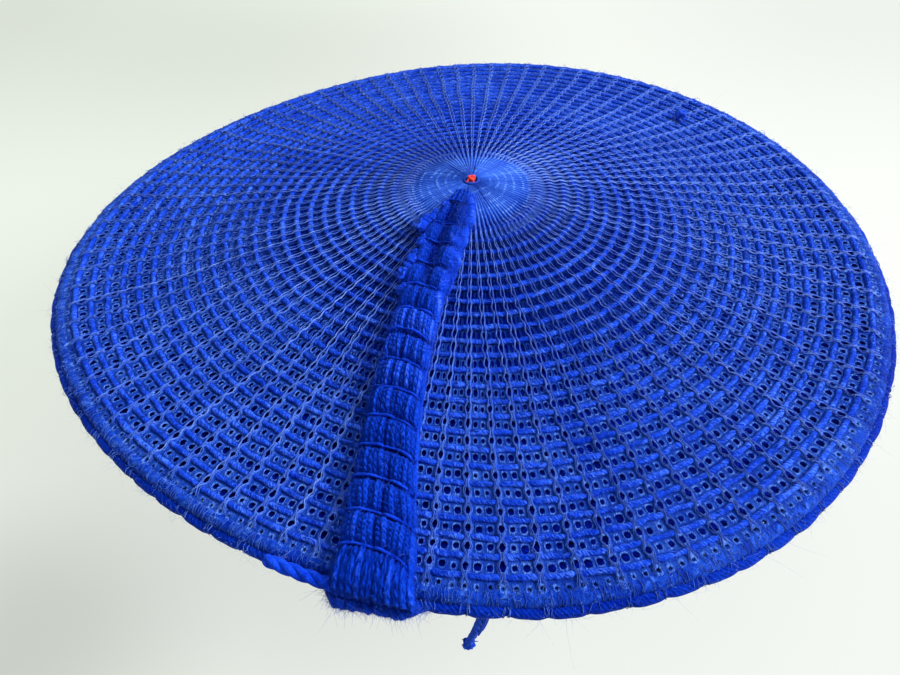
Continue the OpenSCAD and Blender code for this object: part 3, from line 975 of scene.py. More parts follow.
def make_rim_cord():
    """A thick cord outside the binding, drawn in at each rib by ties of netting, so that it scallops."""
    strands = Strands()
    phi = SEAM_AZIMUTH + round_turn(RIBS * 14)
    drawn = bell(rib_turn(phi), 0.16)
    at_r = CORD_R - 0.4 * MM - 0.35 * MM * drawn + 0.12 * MM * ripple(phi, (17, 39, 71), 22)
    at_z = CORD_Z - 0.2 * MM + 0.35 * MM * ripple(phi, (13, 29, 43), 21) + 0.35 * MM * drawn
    thick = CORD_HALF * (1.06 - 0.13 * drawn + 0.05 * ripple(phi, (41, 67, 97, 181), 30))
    path = torus_line(phi, at_r, at_z, 0, 0)
    # Painted shade: the cord is darker where the ties draw it in
    tone = 0.95 - 0.2 * drawn + 0.12 * ripple(phi, (7, 19, 37, 61, 173), 40)
    strands.tubes(path, UP, thick, None, 14, True, tone)
    strands.build("rim_cord_yarn", RIM_YARN, "rim_yarn", "rim_cord")


def make_rim_ties():
    """The ties of netting that hold the cord at each rib."""
    ties = Strands()
    count = RIBS * TIES_PER_RIB
    place = np.repeat(RIB_COLUMNS, TIES_PER_RIB) + rng.normal(0, 0.34, count)
    start = net_phi(place, 0)[:, None]
    s = np.linspace(0, 1, 9)
    turn = math.pi * (1.0 - 1.3 * s) + rng.normal(0, 0.2, (count, 1))
    spread = CORD_HALF + 0.1 * MM + rng.normal(0, 0.15 * MM, (count, 9))
    slant = (rng.normal(0, 1.6 * MM, (count, 1)) * s + rng.normal(0, 0.3 * MM, (count, 9))) / RIM_R
    paths = torus_line(start + slant, CORD_R - 0.8 * MM, CORD_Z + 0.3 * MM, spread, turn)
    ties.tubes(paths, NEARLY_UP, 0.16 * MM, None, 3, shade=rng.uniform(0.5, 1.1, (count, 1)) + 0 * spread)
    ties.build("rim_cord_ties", FRIZZ, "netting")


# ---- Fuzz ----


def hairs(strands, roots, directions, lengths, bend, radius, steps=5):
    """Fine fibres that leave the surface and curl."""
    n = len(roots)
    directions = directions / np.linalg.norm(directions, axis=1, keepdims=True)
    swerve = rng.normal(size=(n, 3)) * bend
    s = np.linspace(0, 1, steps)[None, :, None]
    paths = roots[:, None] + lengths[:, None, None] * (directions[:, None] * s + swerve[:, None] * s**2)
    thin = radius * (1.1 - 0.8 * s[..., 0]) * np.ones((n, 1))
    strands.tubes(paths, (0.3, 0.2, 0.9), thin, None, 3, shade=rng.uniform(0.5, 1.5, (n, 1)) + 0 * s[..., 0])


def curls(strands, roots, reach, radius):
    """Small open loops of fine thread that lie about on the surface."""
    n = len(roots)
    t = np.linspace(0, 1, 10)
    start = rng.uniform(0, TAU, (n, 1))
    angle = start + rng.choice((-1, 1), (n, 1)) * rng.uniform(2.5, 7.0, (n, 1)) * t
    drift = rng.normal(0, 1.1, (n, 1, 3)) * t[:, None] * (1, 1, 0.3)
    loop = np.stack([np.cos(angle), np.sin(angle), 0.35 * np.sin(angle * 1.3 + start)], -1)
    paths = roots[:, None] + reach[:, None, None] * (loop + drift) + (0, 0, 0.15 * MM)
    strands.tubes(paths, (0.02, 0.01, 1), radius, None, 3, shade=rng.uniform(0.5, 1.2, (n, 1)) + 0 * t)


def make_rim_fuzz():
    """Short fibres that stand out all round the rim cord."""
    edge = Strands()
    count = 2200
    phi = rng.uniform(0, TAU, count)
    turn = rng.normal(0.2, 0.9, count)
    roots = torus_line(phi, CORD_R, CORD_Z, CORD_HALF, turn)
    out = np.stack([np.cos(phi) * np.cos(turn), np.sin(phi) * np.cos(turn), np.sin(turn)], -1)
    out = out + rng.normal(0, 0.7, out.shape)
    hairs(edge, roots, out, rng.gamma(2.0, 0.6 * MM, count), 1.3, 0.034 * MM)
    edge.build("rim_fuzz", HAIR, "netting")


def make_crown_fuzz():
    """Curled threads that lie about on the crown, a third of them near the rim."""
    top = Strands()
    count = 1400
    phi = rng.uniform(0, TAU, count)
    r = np.sqrt(rng.uniform((60 * MM) ** 2, (RIM_R - 3 * MM) ** 2, count))
    nearer = rng.random(count) < 0.35
    r[nearer] = rng.normal(RIM_R - 9 * MM, 2.5 * MM, nearer.sum())
    roots = crown_point(np.minimum(r, RIM_R - 4 * MM), phi, 2.4 * MM)
    curls(top, roots, rng.gamma(4, 0.14 * MM, count), 0.045 * MM)
    top.build("crown_fuzz", FRIZZ, "netting")


# ---- Seam over the crown ----

STRIP_START = 13 * MM
STRIP_LIFT = 3.6 * MM
STRIP_BOW = 11 * MM
STRIP_TURN_R = RIM_R - 11 * MM
WRAP_MID = (RIM_R - 5.6 * MM, RIM_H - 4.6 * MM)
WRAP_R = 6 * MM
STRIP_END = STRIP_TURN_R + 8.4 * MM
STRIP_WIDEST = RIM_R + 6 * MM
STITCHES = 14
FAINT_STITCHES = 4
STITCH_FIRST, STITCH_LAST = 22 * MM, SHELL_R - 4 * MM
STITCH_GAP = (STITCH_LAST - STITCH_FIRST) / (STITCHES - 1)


def strip_mid(q):
    """How far the strip bows aside from the seam's line."""
    return -STRIP_BOW * np.sin(math.pi * np.minimum(1, q / STRIP_WIDEST))


def strip_half(q):
    """Half the strip's width, which grows towards the rim."""
    full = 20 * MM + 14 * MM * np.minimum(1, q / STRIP_WIDEST) ** 3
    return np.minimum(full, 8 * MM + 0.55 * (q - STRIP_START)) / 2


def strip_point(q, v, height):
    """Points on the strip: q is along it from the point, v across it from -1 to 1, height off the yarn."""
    q, v, height = np.broadcast_arrays(q, v, height)
    r = np.minimum(q, STRIP_TURN_R)
    slope, size = slope_and_size(crown_z, r)
    flat = np.stack([r - height * slope / size, crown_z(r) + STRIP_LIFT + height / size], -1)
    turn = math.radians(96) - np.maximum(q - STRIP_TURN_R, 0) / WRAP_R
    spread = WRAP_R + 0.6 * MM + height
    wrapped = np.stack([WRAP_MID[0] + spread * np.cos(turn), WRAP_MID[1] + spread * np.sin(turn)], -1)
    blend = smooth((q - STRIP_TURN_R + 3 * MM) / (6 * MM))[..., None]
    at = flat * (1 - blend) + wrapped * blend
    return np.stack([strip_mid(q) + v * strip_half(q), -at[..., 0], at[..., 1]], -1)


def stitch_bow(v):
    """A stitch's line bows towards the point a little left of the middle, and runs down to the right."""
    return (2.0 * (v + 0.35) ** 2 - 0.9) * MM


def strip_segment(q, v):
    """How far a point is along its puff, from the stitch on the point's side to the next."""
    return (q - stitch_bow(v) - STITCH_FIRST) / STITCH_GAP


PUFFS = np.random.default_rng(33)
PUFF_SIZE = PUFFS.uniform(0.86, 1.1, STITCHES + 2)
PUFF_TONE = PUFFS.uniform(0.84, 1.08, STITCHES + 2)
PUFF_SHIFT = PUFFS.uniform(-0.6, 0.6, STITCHES + 2)
PUFF_PART = PUFFS.uniform(-0.35, 0.25, STITCHES + 2)


def puff_number(q, v):
    """Which puff a point is on: 0 before the first stitch."""
    return np.clip(np.floor(strip_segment(q, v)) + 1, 0, STITCHES + 1).astype(int)


def strip_hollow(q, v):
    """Near the point the strip's middle is hollow, between a roll on its right and lumps on its left."""
    along = smooth((80 * MM - q) / (14 * MM)) * smooth((q - 20 * MM) / (10 * MM))
    return along * bell(v + 0.15, 0.38)


def strip_height(q, v):
    """How far the strip stands off the yarn: a soft puff between each pair of stitches."""
    thick = 7 * MM * (0.4 + 0.6 * np.minimum(1, q / (70 * MM)))
    thick = thick * (1 - 0.5 * smooth((q - STRIP_TURN_R + 3 * MM) / (9 * MM)))
    part = strip_segment(q, v)
    number = puff_number(q, v)
    t = part % 1
    puff = 0.48 + 0.52 * np.sin(math.pi * np.clip(t * 1.06 - 0.03, 0, 1)) ** 0.55 * PUFF_SIZE[number]
    puff = np.where((part > 0) & (part < STITCHES), puff, 0.85)
    puff = puff - 0.28 * bell((t - 0.10) * STITCH_GAP, 1.1 * MM) * (part > 0)
    puff = puff - 0.13 * bell(v - PUFF_PART[number], 0.05)
    last = 1 - 0.75 * smooth((q - STRIP_END + 3.4 * MM) / (3.4 * MM)) ** 2
    round_off = arch(v, 4.5)
    return thick * (puff * last * round_off * (1 - 0.8 * strip_hollow(q, v)) - 0.25 * (1 - round_off))


CHAIN_RIBS = 13
CHAIN_PITCH = 2.6 * MM


def make_seam_strip():
    """Puffs of lengthwise chain-stitched ribs, which shift from one puff to the next."""
    strands = Strands()
    q = np.linspace(STRIP_START, STRIP_END, 380)
    v = np.linspace(-1, 1, 121)
    q_grid, v_grid = across_and_along(q, v)
    number = puff_number(q_grid, v_grid)
    t = strip_segment(q_grid, v_grid) % 1
    wander = 0.04 * np.sin(q_grid * 90) + 0.03 * np.sin(q_grid * 210 + 5 * v_grid)
    fan = 1 + 0.05 * (t - 0.5) * np.sin(3.0 * number)
    across = (v_grid * fan + wander + 1) / 2 * CHAIN_RIBS + PUFF_SHIFT[number]
    local = (across % 1 - 0.5) * 2
    ridge = arch(local)
    rib = np.floor(across)
    jitter = 0.35 * ripple(q_grid * 40, (3, 7, 13), 41) + 0.37 * rib * rib + 0.5 * number
    chain = np.cos(TAU * (q_grid / CHAIN_PITCH - np.abs(local) * 0.4 + jitter))
    rib_size = 0.8 + 0.35 * np.sin(rib * 2.4 + number * 1.7)
    clear = 0.4 + 0.6 * smooth((q_grid - 80 * MM) / (22 * MM))
    relief = (1.0 * ridge * rib_size + 0.42 * chain * ridge) * MM * clear
    height = strip_height(q_grid, v_grid) + relief + 0.22 * MM * rng.normal(size=q_grid.shape)
    height = height + 0.55 * MM * np.sin(q_grid * 160 + 9 * v_grid + number) * np.sin(v_grid * 7 + 2)
    # Painted light and shade: the ribs' crests are lighter, and the groove under each stitch, the parting of
    # each puff, the strip's end and its hollow middle are darker; the strip is also lighter towards the
    # point
    groove_shade = bell((t - 0.10) * STITCH_GAP, 1.4 * MM) * (strip_segment(q_grid, v_grid) > 0)
    end_shade = smooth((q_grid - STRIP_END + 2.6 * MM) / (2.6 * MM))
    parting_shade = bell(v_grid - PUFF_PART[number], 0.06)
    tone = 0.45 + 0.5 * ridge * rib_size * clear + 0.2 * (1 - clear) + 0.12 * chain
    tone = tone + 0.10 * rng.normal(size=q_grid.shape) - 0.45 * groove_shade - 0.35 * parting_shade - 0.5 * end_shade
    tone = tone * PUFF_TONE[number] * (1 + 0.3 * smooth((165 * MM - q_grid) / (60 * MM)))
    tone = tone - 0.45 * strip_hollow(q_grid, v_grid)
    bulge = 0.11 * (1 - np.sin(math.pi * np.clip(t, 0, 1)) ** 0.6) * np.abs(v_grid)
    v_grid = v_grid * (1 - np.where(v_grid < 0, bulge, 0.5 * bulge))
    strands.grid(strip_point(q_grid, v_grid, height), np.clip(tone, 0.0, 1.5))
    end_q, end_v = across_and_along(np.full(2, STRIP_END), v)
    end_height = np.stack([height[-1], np.full(len(v), -1 * MM)])
    # Painted shade: the end face is dark
    strands.grid(strip_point(end_q, end_v, end_height), 0.4)
    strands.build("seam_strip_puffs", SEAM, "seam_yarn", "seam_strip")


def make_strip_fuzz():
    """Short fibres on the strip, more of them along its edges."""
    fuzz = Strands()
    count = 3200
    q = rng.uniform(STRIP_START, STRIP_END, count)
    near_edge = rng.random(count) < 0.3
    edge = rng.choice((-1, 1), count) * rng.uniform(0.9, 1, count)
    v = np.where(near_edge, edge, rng.uniform(-1, 1, count))
    roots = strip_point(q, v, strip_height(q, np.clip(v, -1, 1)) + 0.6 * MM)
    out = rng.normal(0, 1, (count, 3)) + (0, -0.2, 0.8)
    hairs(fuzz, roots, out, rng.gamma(2.5, 0.55 * MM, count), 1.0, 0.06 * MM, 4)
    fuzz.build("seam_strip_fuzz", SEAM_BRIGHT, "seam_yarn")


def blob(strands, middle, size, seed, tone):
    """A lump of loose fibres."""
    around = round_turn(26)
    down = np.linspace(0.02, math.pi - 0.02, 18)
    down_grid, around_grid = across_and_along(down, around)
    knobs = ripple(around_grid + 1.3 * down_grid, (2, 3, 5, 7), seed)
    knobs = knobs + 0.6 * ripple(4 * down_grid, (1, 2, 3), seed + 50)
    spread = size * (1 + 0.22 * knobs + 0.07 * rng.normal(size=knobs.shape))[..., None]
    round_off = np.sin(down_grid)
    sphere = [round_off * np.cos(around_grid), round_off * np.sin(around_grid), np.cos(down_grid)]
    sphere = np.stack(sphere, -1)
    strands.grid(middle + spread * sphere, tone + 0.12 * knobs, wrap_v=True)


# The roll's right edge near the point, in mm: distance from the point and place aside
ROLL_EDGE = ((13, 3.6), (24, 6.0), (34, 6.7), (45, 5.0), (66, 3.9), (82, 1.6), (99, -0.4))


def roll_fatness(q):
    """1 near the point, where the roll is fat, and 0 towards the rim."""
    return smooth((102 * MM - q) / (24 * MM))


def roll_puff(q):
    """0 at each stitch on the strip's right and 1 half-way between."""
    return np.sin(math.pi * (strip_segment(q, 0.9) % 1))


def roll_shape(q):
    """The middle and half width of the yarn along the strip's right edge: a fat soft roll near the point."""
    upper = roll_fatness(q)
    edge = np.interp(q / MM, *zip(*ROLL_EDGE)) * MM
    edge = upper * edge + (1 - upper) * (strip_mid(q) + 0.97 * strip_half(q))
    lump = roll_puff(q) ** 0.7
    half = (1.3 + 3.3 * upper) * MM * (0.68 + 0.32 * lump) * (1 + 0.12 * ripple(q * 20, (7, 13, 22), 81))
    half = half * smooth((q - STRIP_START + 2 * MM) / (14 * MM))
    half = half * (0.35 + 0.65 * smooth((190 * MM - q) / (60 * MM)))
    return edge - half, half


def roll_point(q, around, rough):
    """Points on that roll's surface: around is 0 at its right and a quarter turn on top."""
    middle, half = roll_shape(q)
    upper = roll_fatness(q)
    x = middle + half * rough * np.cos(around)
    height = (1.6 + 0.6 * upper) * MM + half * (0.9 - 0.22 * upper) * rough * np.sin(around)
    return strip_point(q, (x - strip_mid(q)) / strip_half(q), height)


# Loose tufts at the left of the strip: distance along, place across, half thickness
TUFTS = ((25 * MM, -0.8, 1.6 * MM), (33 * MM, -1.0, 2.0 * MM), (40 * MM, -1.25, 2.9 * MM),
         (50 * MM, -0.95, 2.0 * MM), (61 * MM, -1.05, 2.2 * MM), (71 * MM, -1.15, 2.6 * MM),
         (80 * MM, -1.0, 1.7 * MM))
TUFT_LIFT = 2.6 * MM
HAIRS_PER_TUFT = 90


def make_seam_roll():
    """The soft yarn along the strip's right-hand edge, and the lumps along its left near the point."""
    strands = Strands()
    q = np.linspace(STRIP_START + 1 * MM, 184 * MM, 420)
    q_grid, around = across_and_along(q, round_turn(24))
    twist = np.sin(3 * around + q_grid * 420 + 2 * ripple(q_grid * 20, (3, 7), 84))
    crease = 1 - roll_puff(q_grid) ** 0.5
    knobs = ripple(q_grid * 60 + 0.5 * around, (3, 7, 11), 85)
    knobs = knobs + ripple(2 * around + q_grid * 90, (1, 2, 3), 86)
    rough = 1 + 0.06 * twist + 0.07 * knobs + 0.05 * rng.normal(size=q_grid.shape) - 0.12 * crease
    # Painted light and shade: the roll is darker in the crease at each stitch and lighter where it bulges
    tone = 0.86 + 0.16 * twist + 0.12 * knobs + 0.16 * rng.normal(size=q_grid.shape) - 0.6 * crease
    strands.grid(roll_point(q_grid, around, rough), np.clip(tone, 0.3, 1.4), wrap_v=True)
    for i, (at, side, size) in enumerate(TUFTS):
        middle = strip_point(at, side, TUFT_LIFT)
        blob(strands, middle, size * np.array([1.0, 1.5, 0.85]), 90 + i, 0.92)
        behind = middle + (0.5 * size, 1.7 * size, 0.4 * size)
        blob(strands, behind, size * np.array([0.7, 1.0, 0.6]), 120 + i, 0.88)
    strands.build("seam_strip_roll", SEAM_BRIGHT, "seam_yarn")


def make_roll_fuzz():
    """Fibres on the tufts and along the roll."""
    fuzz = Strands()
    for at, side, size in TUFTS:
        spread = rng.normal(0, 0.8, (HAIRS_PER_TUFT, 3)) * size * (1, 1.5, 0.6)
        roots = strip_point(at, side, TUFT_LIFT) + spread
        out = rng.normal(0, 1, (HAIRS_PER_TUFT, 3)) + (0, 0, 0.4)
        hairs(fuzz, roots, out, rng.gamma(3, 0.5 * MM, HAIRS_PER_TUFT), 1.3, 0.07 * MM)
    count = 2200
    q = rng.uniform(STRIP_START + 4 * MM, 120 * MM, count)
    roots = roll_point(q, rng.uniform(-0.3, math.pi, count), 0.97)
    out = rng.normal(0, 1, (count, 3)) + (0.3, 0, 0.5)
    hairs(fuzz, roots, out, rng.gamma(2.5, 0.5 * MM, count), 1.2, 0.07 * MM, 4)
    fuzz.build("seam_roll_fuzz", SEAM_BRIGHT, "seam_yarn")


def make_seam_stitches():
    """A thin yarn in each crease, sunk into the strip, and thinner and darker for the first few."""
    strands = Strands()
    random = np.random.default_rng(21)
    for i in range(STITCHES):
        v = np.linspace(-1.04, 0.96, 44)
        q = STITCH_FIRST + i * STITCH_GAP + stitch_bow(v) * random.uniform(0.7, 1.25)
        q = q + random.normal(0, 0.4) * MM
        height = strip_height(q - 0.6 * MM, np.clip(v, -1, 1)) + 0.75 * MM
        height = height - 2.2 * MM * smooth((v - 0.55) / 0.4) - 2.2 * MM * smooth((-v - 0.9) / 0.14)
        height = height + 0.3 * MM * np.sin(v * 9 + i)
        full, bright = (0.7, 0.7) if i < FAINT_STITCHES else (1.0, 0.8)
        thick = (0.6 + 0.12 * np.sin(v * 5 + i)) * MM * full
        tone = bright + 0.15 * np.sin(v * 7 + 2 * i)
        strands.tubes(strip_point(q, v, height), UP, thick, None, 10, False, tone)
    strands.build("seam_stitch_yarns", SEAM_BRIGHT, "seam_yarn", "seam_stitches")


ROLL_AT = (RIM_R + 0.9 * MM, CORD_Z - 0.8 * MM)
ROLL_LEFT, ROLL_RIGHT = -23 * MM, 20 * MM


def roll_line(x, spread, turn):
    """Points on the roll over the rim, which runs into the rim cord at both ends."""
    taper = smooth((x - ROLL_LEFT) / (8 * MM)) * smooth((ROLL_RIGHT - x) / (12 * MM))
    start_r = CORD_R - 0.5 * MM
    at_r = start_r + taper * (ROLL_AT[0] - start_r)
    at_z = CORD_Z + taper * (ROLL_AT[1] - CORD_Z)
    full = (1.0 + 1.3 * bell(x + 14 * MM, 7 * MM)) * MM
    return torus_line(SEAM_AZIMUTH + x / RIM_R, at_r, at_z, 2.0 * MM + taper * (full + spread), turn)


def make_seam_end():
    """Where the strip goes over the rim, a soft roll of the same yarn lies across its end."""
    strands = Strands()
    x = np.linspace(ROLL_LEFT, ROLL_RIGHT, 150)
    turn = round_turn(26)
    x_grid, turn_grid = across_and_along(x, turn)
    slant = x_grid / (4.5 * MM) + turn_grid / TAU * 1.5
    strand = np.abs(np.sin(math.pi * slant + 0.6 * np.sin(3 * turn_grid)))
    knobs = ripple(slant, (2, 5, 9), 140) + ripple(turn_grid + x_grid * 90, (1, 2, 3), 141)
    rough = 0.2 * MM * strand + 0.2 * MM * knobs + 0.14 * MM * rng.normal(size=x_grid.shape)
    # Painted shade: darker between the twisted strands, lighter on them
    tone = 0.5 + 0.4 * strand + 0.1 * knobs
    strands.grid(roll_line(x_grid, rough, turn_grid), np.clip(tone, 0.1, 1.2), wrap_v=True)
    strands.build("seam_end_roll", SEAM, "seam_yarn")


def make_seam_end_fuzz():
    """Fibres on that roll, with a thick patch at its left."""
    fuzz = Strands()
    count = 1500
    x = rng.uniform(ROLL_LEFT, ROLL_RIGHT, count)
    x[:400] = rng.normal(-14 * MM, 4 * MM, 400)
    turn = rng.uniform(-1.2, 1.9, count)
    out = np.stack([rng.normal(0, 0.8, count), -np.cos(turn), np.sin(turn)], -1)
    out = out + rng.normal(0, 0.5, (count, 3))
    hairs(fuzz, roll_line(x, -0.2 * MM, turn), out, rng.gamma(3, 0.34 * MM, count), 1.3, 0.06 * MM)
    fuzz.build("seam_end_fuzz", SEAM_BRIGHT, "seam_yarn")


CORD_END_ASIDE = 18 * MM
CORD_END_PLIES = 3


def make_cord_end():
    """The rim cord's thick twisted end, at the strip's left."""
    strands = Strands()
    at = (RIM_R - 0.1 * MM, RIM_H - 0.7 * MM)
    s = np.linspace(0, 1, 60)
    start = SEAM_AZIMUTH - math.asin(CORD_END_ASIDE / RIM_R) + 0.01
    phi = start - 0.135 * s
    shut = np.sqrt(np.clip(1 - ((s - 0.90) / 0.1).clip(0, 1) ** 2, 0.02, 1))
    for ply in range(CORD_END_PLIES):
        turn = TAU * (s * 1.4 + ply / CORD_END_PLIES)
        spread = 1.15 * MM * shut
        path = torus_line(phi, at[0] - 0.8 * MM * s, at[1] - 1.2 * MM * s, spread, turn)
        strands.tubes(path, UP, 1.55 * MM * shut, None, 12, False, 1.0)
    strands.build("seam_cord_plies", SEAM_BRIGHT, "seam_yarn", "seam_cord_end")


# ---- Side ----

SIDE_RINGS = 17
SIDE_FIRST_Z = edge_high.z + 4 * MM
SIDE_PITCH = (SIDE_TOP - 4 * MM - SIDE_FIRST_Z) / (SIDE_RINGS - 1)
# The outer loop's darker tone is painted shade beside the yarn
SIDE_LOOPS = ((0.0, -0.3 * MM, 0.75), (0.35, 0.2 * MM, 1.1), (1.0, 0.0, 0.65))
SIDE_THIN = 0.7


def side_place(phase, phi, lift):
    return side_point(SIDE_FIRST_Z + SIDE_PITCH * phase, phi, lift)


def side_lift(column, phase):
    return SIDE_THIN * net_lift(column, phase, 1.0)


def side_hole(phase):
    """The side's holes are all alike."""
    return 0.27 + 0 * phase, 0.2 + 0 * phase


def no_slot_shade(phase):
    """The side's netting gets no painted shade between its ribs."""
    return 0 * phase


def make_side_net():
    """The same netting down the side; only the underside shows it close to."""
    for i, columns in enumerate(np.array_split(np.arange(COLUMNS), 2)):
        rows = np.arange(-1, SIDE_RINGS)
        sheet = net_cells(side_place, side_lift, columns, rows, side_hole, SIDE_LOOPS, no_slot_shade)
        sheet.build(f"side_net_mesh_{i + 1}", FINE_NET, "netting", "side_net")


def make_side_ribs():
    """The side's radial threads, which go on from where the crown's end."""
    threads = Strands()
    phase = np.arange(-0.4, SIDE_RINGS - 0.5, 1 / 4)
    for side in (-1, 1):
        column = RIB_COLUMNS[:, None] + side * lens(phase, 0.12, 0.3)
        column = column + rng.normal(0, 0.03, (RIBS, len(phase)))
        lift = side_lift(RIB_COLUMNS[:, None], phase) + 0.25 * MM
        paths = side_place(phase, net_phi(column, phase + (CROWN_ROWS - 1)), lift)
        threads.tubes(paths, (0.01, 0.02, 1), 0.3 * MM, None, 3, shade=1.1)
    threads.build("side_net_ribs", NET, "netting")


def make_side_rings():
    strands = Strands()

    def place(i, phi, lift, aside):
        return side_point(SIDE_FIRST_Z + i * SIDE_PITCH + aside, phi, SIDE_THIN * lift)

    for i in range(SIDE_RINGS):
        radius = float(side_r(SIDE_FIRST_Z + i * SIDE_PITCH))
        ring_of_yarn(strands, place, radius, i, 1.9 * MM)
    strands.build("side_ring_yarns_all", YARN, "yarn", "side_ring_yarns")


def make_side_cloth():
    """The same stiff cloth round the side, sagging a little between the cane stays."""
    z = np.linspace(edge_high.z - 0.5 * MM, SIDE_TOP, 36)
    phi = round_turn(240)
    z_grid, phi_grid = across_and_along(z, phi)
    lift = -SIDE_SAG * between_spokes(phi_grid) * smooth(z_grid / SIDE_TOP)
    outside = side_point(z_grid, phi_grid, lift)
    inside = side_point(z_grid, phi_grid, lift - CLOTH_THICK)
    strands = Strands()
    strands.slab(outside, inside)
    cloth = strands.build("side_cloth", CLOTH, "stiff_cloth", "side_foundation")


SIDE_SEAM_SHARE = 0.65
SIDE_SEAM_SHORT = 12 * MM
SIDE_CHAIN_RIBS = 7


def make_side_seam():
    """A narrower strip of the same ribs down the side, which stops short of the side's top as in the CAD."""
    strands = Strands()
    z = np.linspace(edge_high.z + 1 * MM, SIDE_TOP - SIDE_SEAM_SHORT, 120)
    v = np.linspace(-1, 1, 49)
    z_grid, v_grid = across_and_along(z, v)
    r = side_r(z_grid)
    half = SIDE_SEAM_SHARE * strip_half(r)
    across = (v_grid + 1) / 2 * SIDE_CHAIN_RIBS
    local = (across % 1 - 0.5) * 2
    ridge = arch(local)
    puff = 0.7 + 0.3 * np.abs(np.sin(math.pi * z_grid / (14 * MM)))
    height = STRIP_LIFT + 3 * MM * puff * arch(v_grid, 3)
    height = height + 0.6 * MM * ridge - 1 * MM
    phi = SEAM_AZIMUTH + (SIDE_SEAM_SHARE * strip_mid(r) + v_grid * half) / r
    # Painted shade: darker between the ribs
    strands.grid(side_point(z_grid, phi, height)[:, ::-1], 0.6 + 0.4 * ridge)
    strands.build("side_seam_puffs", SEAM, "seam_yarn", "side_seam")


# ---- Frame of cane and wire ----

SPOKES = 12
CANE_HALF_W = 3 * MM
CANE_HALF_T = 1.25 * MM
CANE_LIFT = -1.6 * MM - 0.6 * MM - CANE_HALF_T


HUB_R, HUB_TOP, HUB_BOTTOM, HUB_CORNER = 19.6 * MM, -5 * MM, -9.6 * MM, 0.6 * MM
HUB_BORE = 0.2 * MM


def cane(strands, paths, up):
    """One split cane, with its flat side to up."""
    strands.tubes(paths, up, CANE_HALF_W * math.sqrt(2), CANE_HALF_T * math.sqrt(2), 4)


def cane_azimuths():
    return [(i + 0.5) * TAU / SPOKES for i in range(SPOKES)]


def make_spokes():
    """Split cane under the crown's cloth, from the hub to the rim."""
    crown = Strands()
    r = np.linspace(4 * MM, SHELL_R, 30)
    for phi in cane_azimuths():
        cane(crown, crown_point(r, phi + 0 * r, CANE_LIFT), UP)
    crown.build("canes_crown", CANE, "cane", "crown_spokes")


def make_stays():
    """Split cane inside the side's cloth, from the head opening to the rim."""
    side = Strands()
    z = np.linspace(edge_high.z + 1 * MM, SIDE_TOP - 3 * MM, 30)
    for phi in cane_azimuths():
        across = (math.cos(phi), math.sin(phi), 0)
        cane(side, side_point(z, phi + 0 * z, CANE_LIFT), across)
    side.build("canes_side", CANE, "cane", "side_stays")


def make_hub():
    """The small disc where the crown's spokes meet."""
    hub = Strands()
    phi = round_turn(64)
    flat_r = HUB_R - HUB_CORNER
    outline = [(HUB_BORE, HUB_TOP), (flat_r, HUB_TOP), (HUB_R, HUB_TOP - HUB_CORNER),
               (HUB_R, HUB_BOTTOM + HUB_CORNER), (flat_r, HUB_BOTTOM), (HUB_BORE, HUB_BOTTOM)]
    hub.grid(np.array([crown_point(r + 0 * phi, phi, lift) for r, lift in outline]), wrap_v=True)
    hub.build("cane_hub", CANE, "cane", "crown_hub")


def make_hoops():
    """The three wire hoops, where the CAD has them."""
    phi = round_turn(360)
    for name, node in (("hoop_rim", "rim_hoop"), ("hoop_middle", "mid_hoop"), ("hoop_head", "head_hoop")):
        low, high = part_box(node)
        at_r, at_z, thick = ring_sizes(low, high)
        strands = Strands()
        path = torus_line(phi, at_r, at_z, 0, 0)
        strands.tubes(path, UP, thick, None, 12, True)
        strands.build(name, WIRE, "hoop_wire", node)


# ---- Head opening ----

BAND_THICK = 2 * MM


def turned(name, outline, material, slot_name, node, count, wrinkles, seed):
    """A closed ring-shaped piece from an outline of (radius, height), with slight wrinkles."""
    strands = Strands()
    phi = round_turn(count)
    outline = np.array(outline)
    r = outline[:, 0][:, None] + wrinkles * ripple(phi, (5, 9, 14, 23), seed) + 0 * phi
    z = outline[:, 1][:, None] + 0 * phi
    strands.grid(polar(r, phi, z), 1.0, wrap_u=True, wrap_v=True)
    return strands.build(name, material, slot_name, node)


def wall(outer, thick, z):
    """An upright wall's outline, up its outside and down its inside."""
    return [(outer, h) for h in z] + [(outer - thick, h) for h in z[::-1]]


def rounded(r0, r1, z0, z1, corner, steps):
    """A rectangle's outline with round corners, anticlockwise from the bottom right."""
    points = []
    for cr, cz, start in ((r1, z0, -90), (r1, z1, 0), (r0, z1, 90), (r0, z0, 180)):
        mr = cr + (corner if cr == r0 else -corner)
        mz = cz + (corner if cz == z0 else -corner)
        for k in range(steps + 1):
            a = math.radians(start + 90 * k / steps)
            points.append((mr + corner * math.cos(a), mz + corner * math.sin(a)))
    return points


def make_headband():
    outline = wall(band_high.x - 0.1 * MM, 1.8 * MM, np.linspace(band_low.z, band_high.z, 20))
    turned("headband_cloth", outline, BAND, "band_cloth", "headband", 512, 0.12 * MM, 3)


def make_edge_binding():
    outline = rounded(band_high.x, edge_high.x, edge_low.z, edge_high.z, 2.2 * MM, 6)
    turned("edge_binding_tape", outline, TAPE, "yarn", "edge_binding", 512, 0.10 * MM, 4)


def make_lining():
    outline = wall(lining_high.x - 0.05 * MM, 0.85 * MM, np.linspace(edge_high.z, lining_high.z, 24))
    turned("lining_wall", outline, LINING, "lining_cloth", "lining", 360, 0.10 * MM, 5)


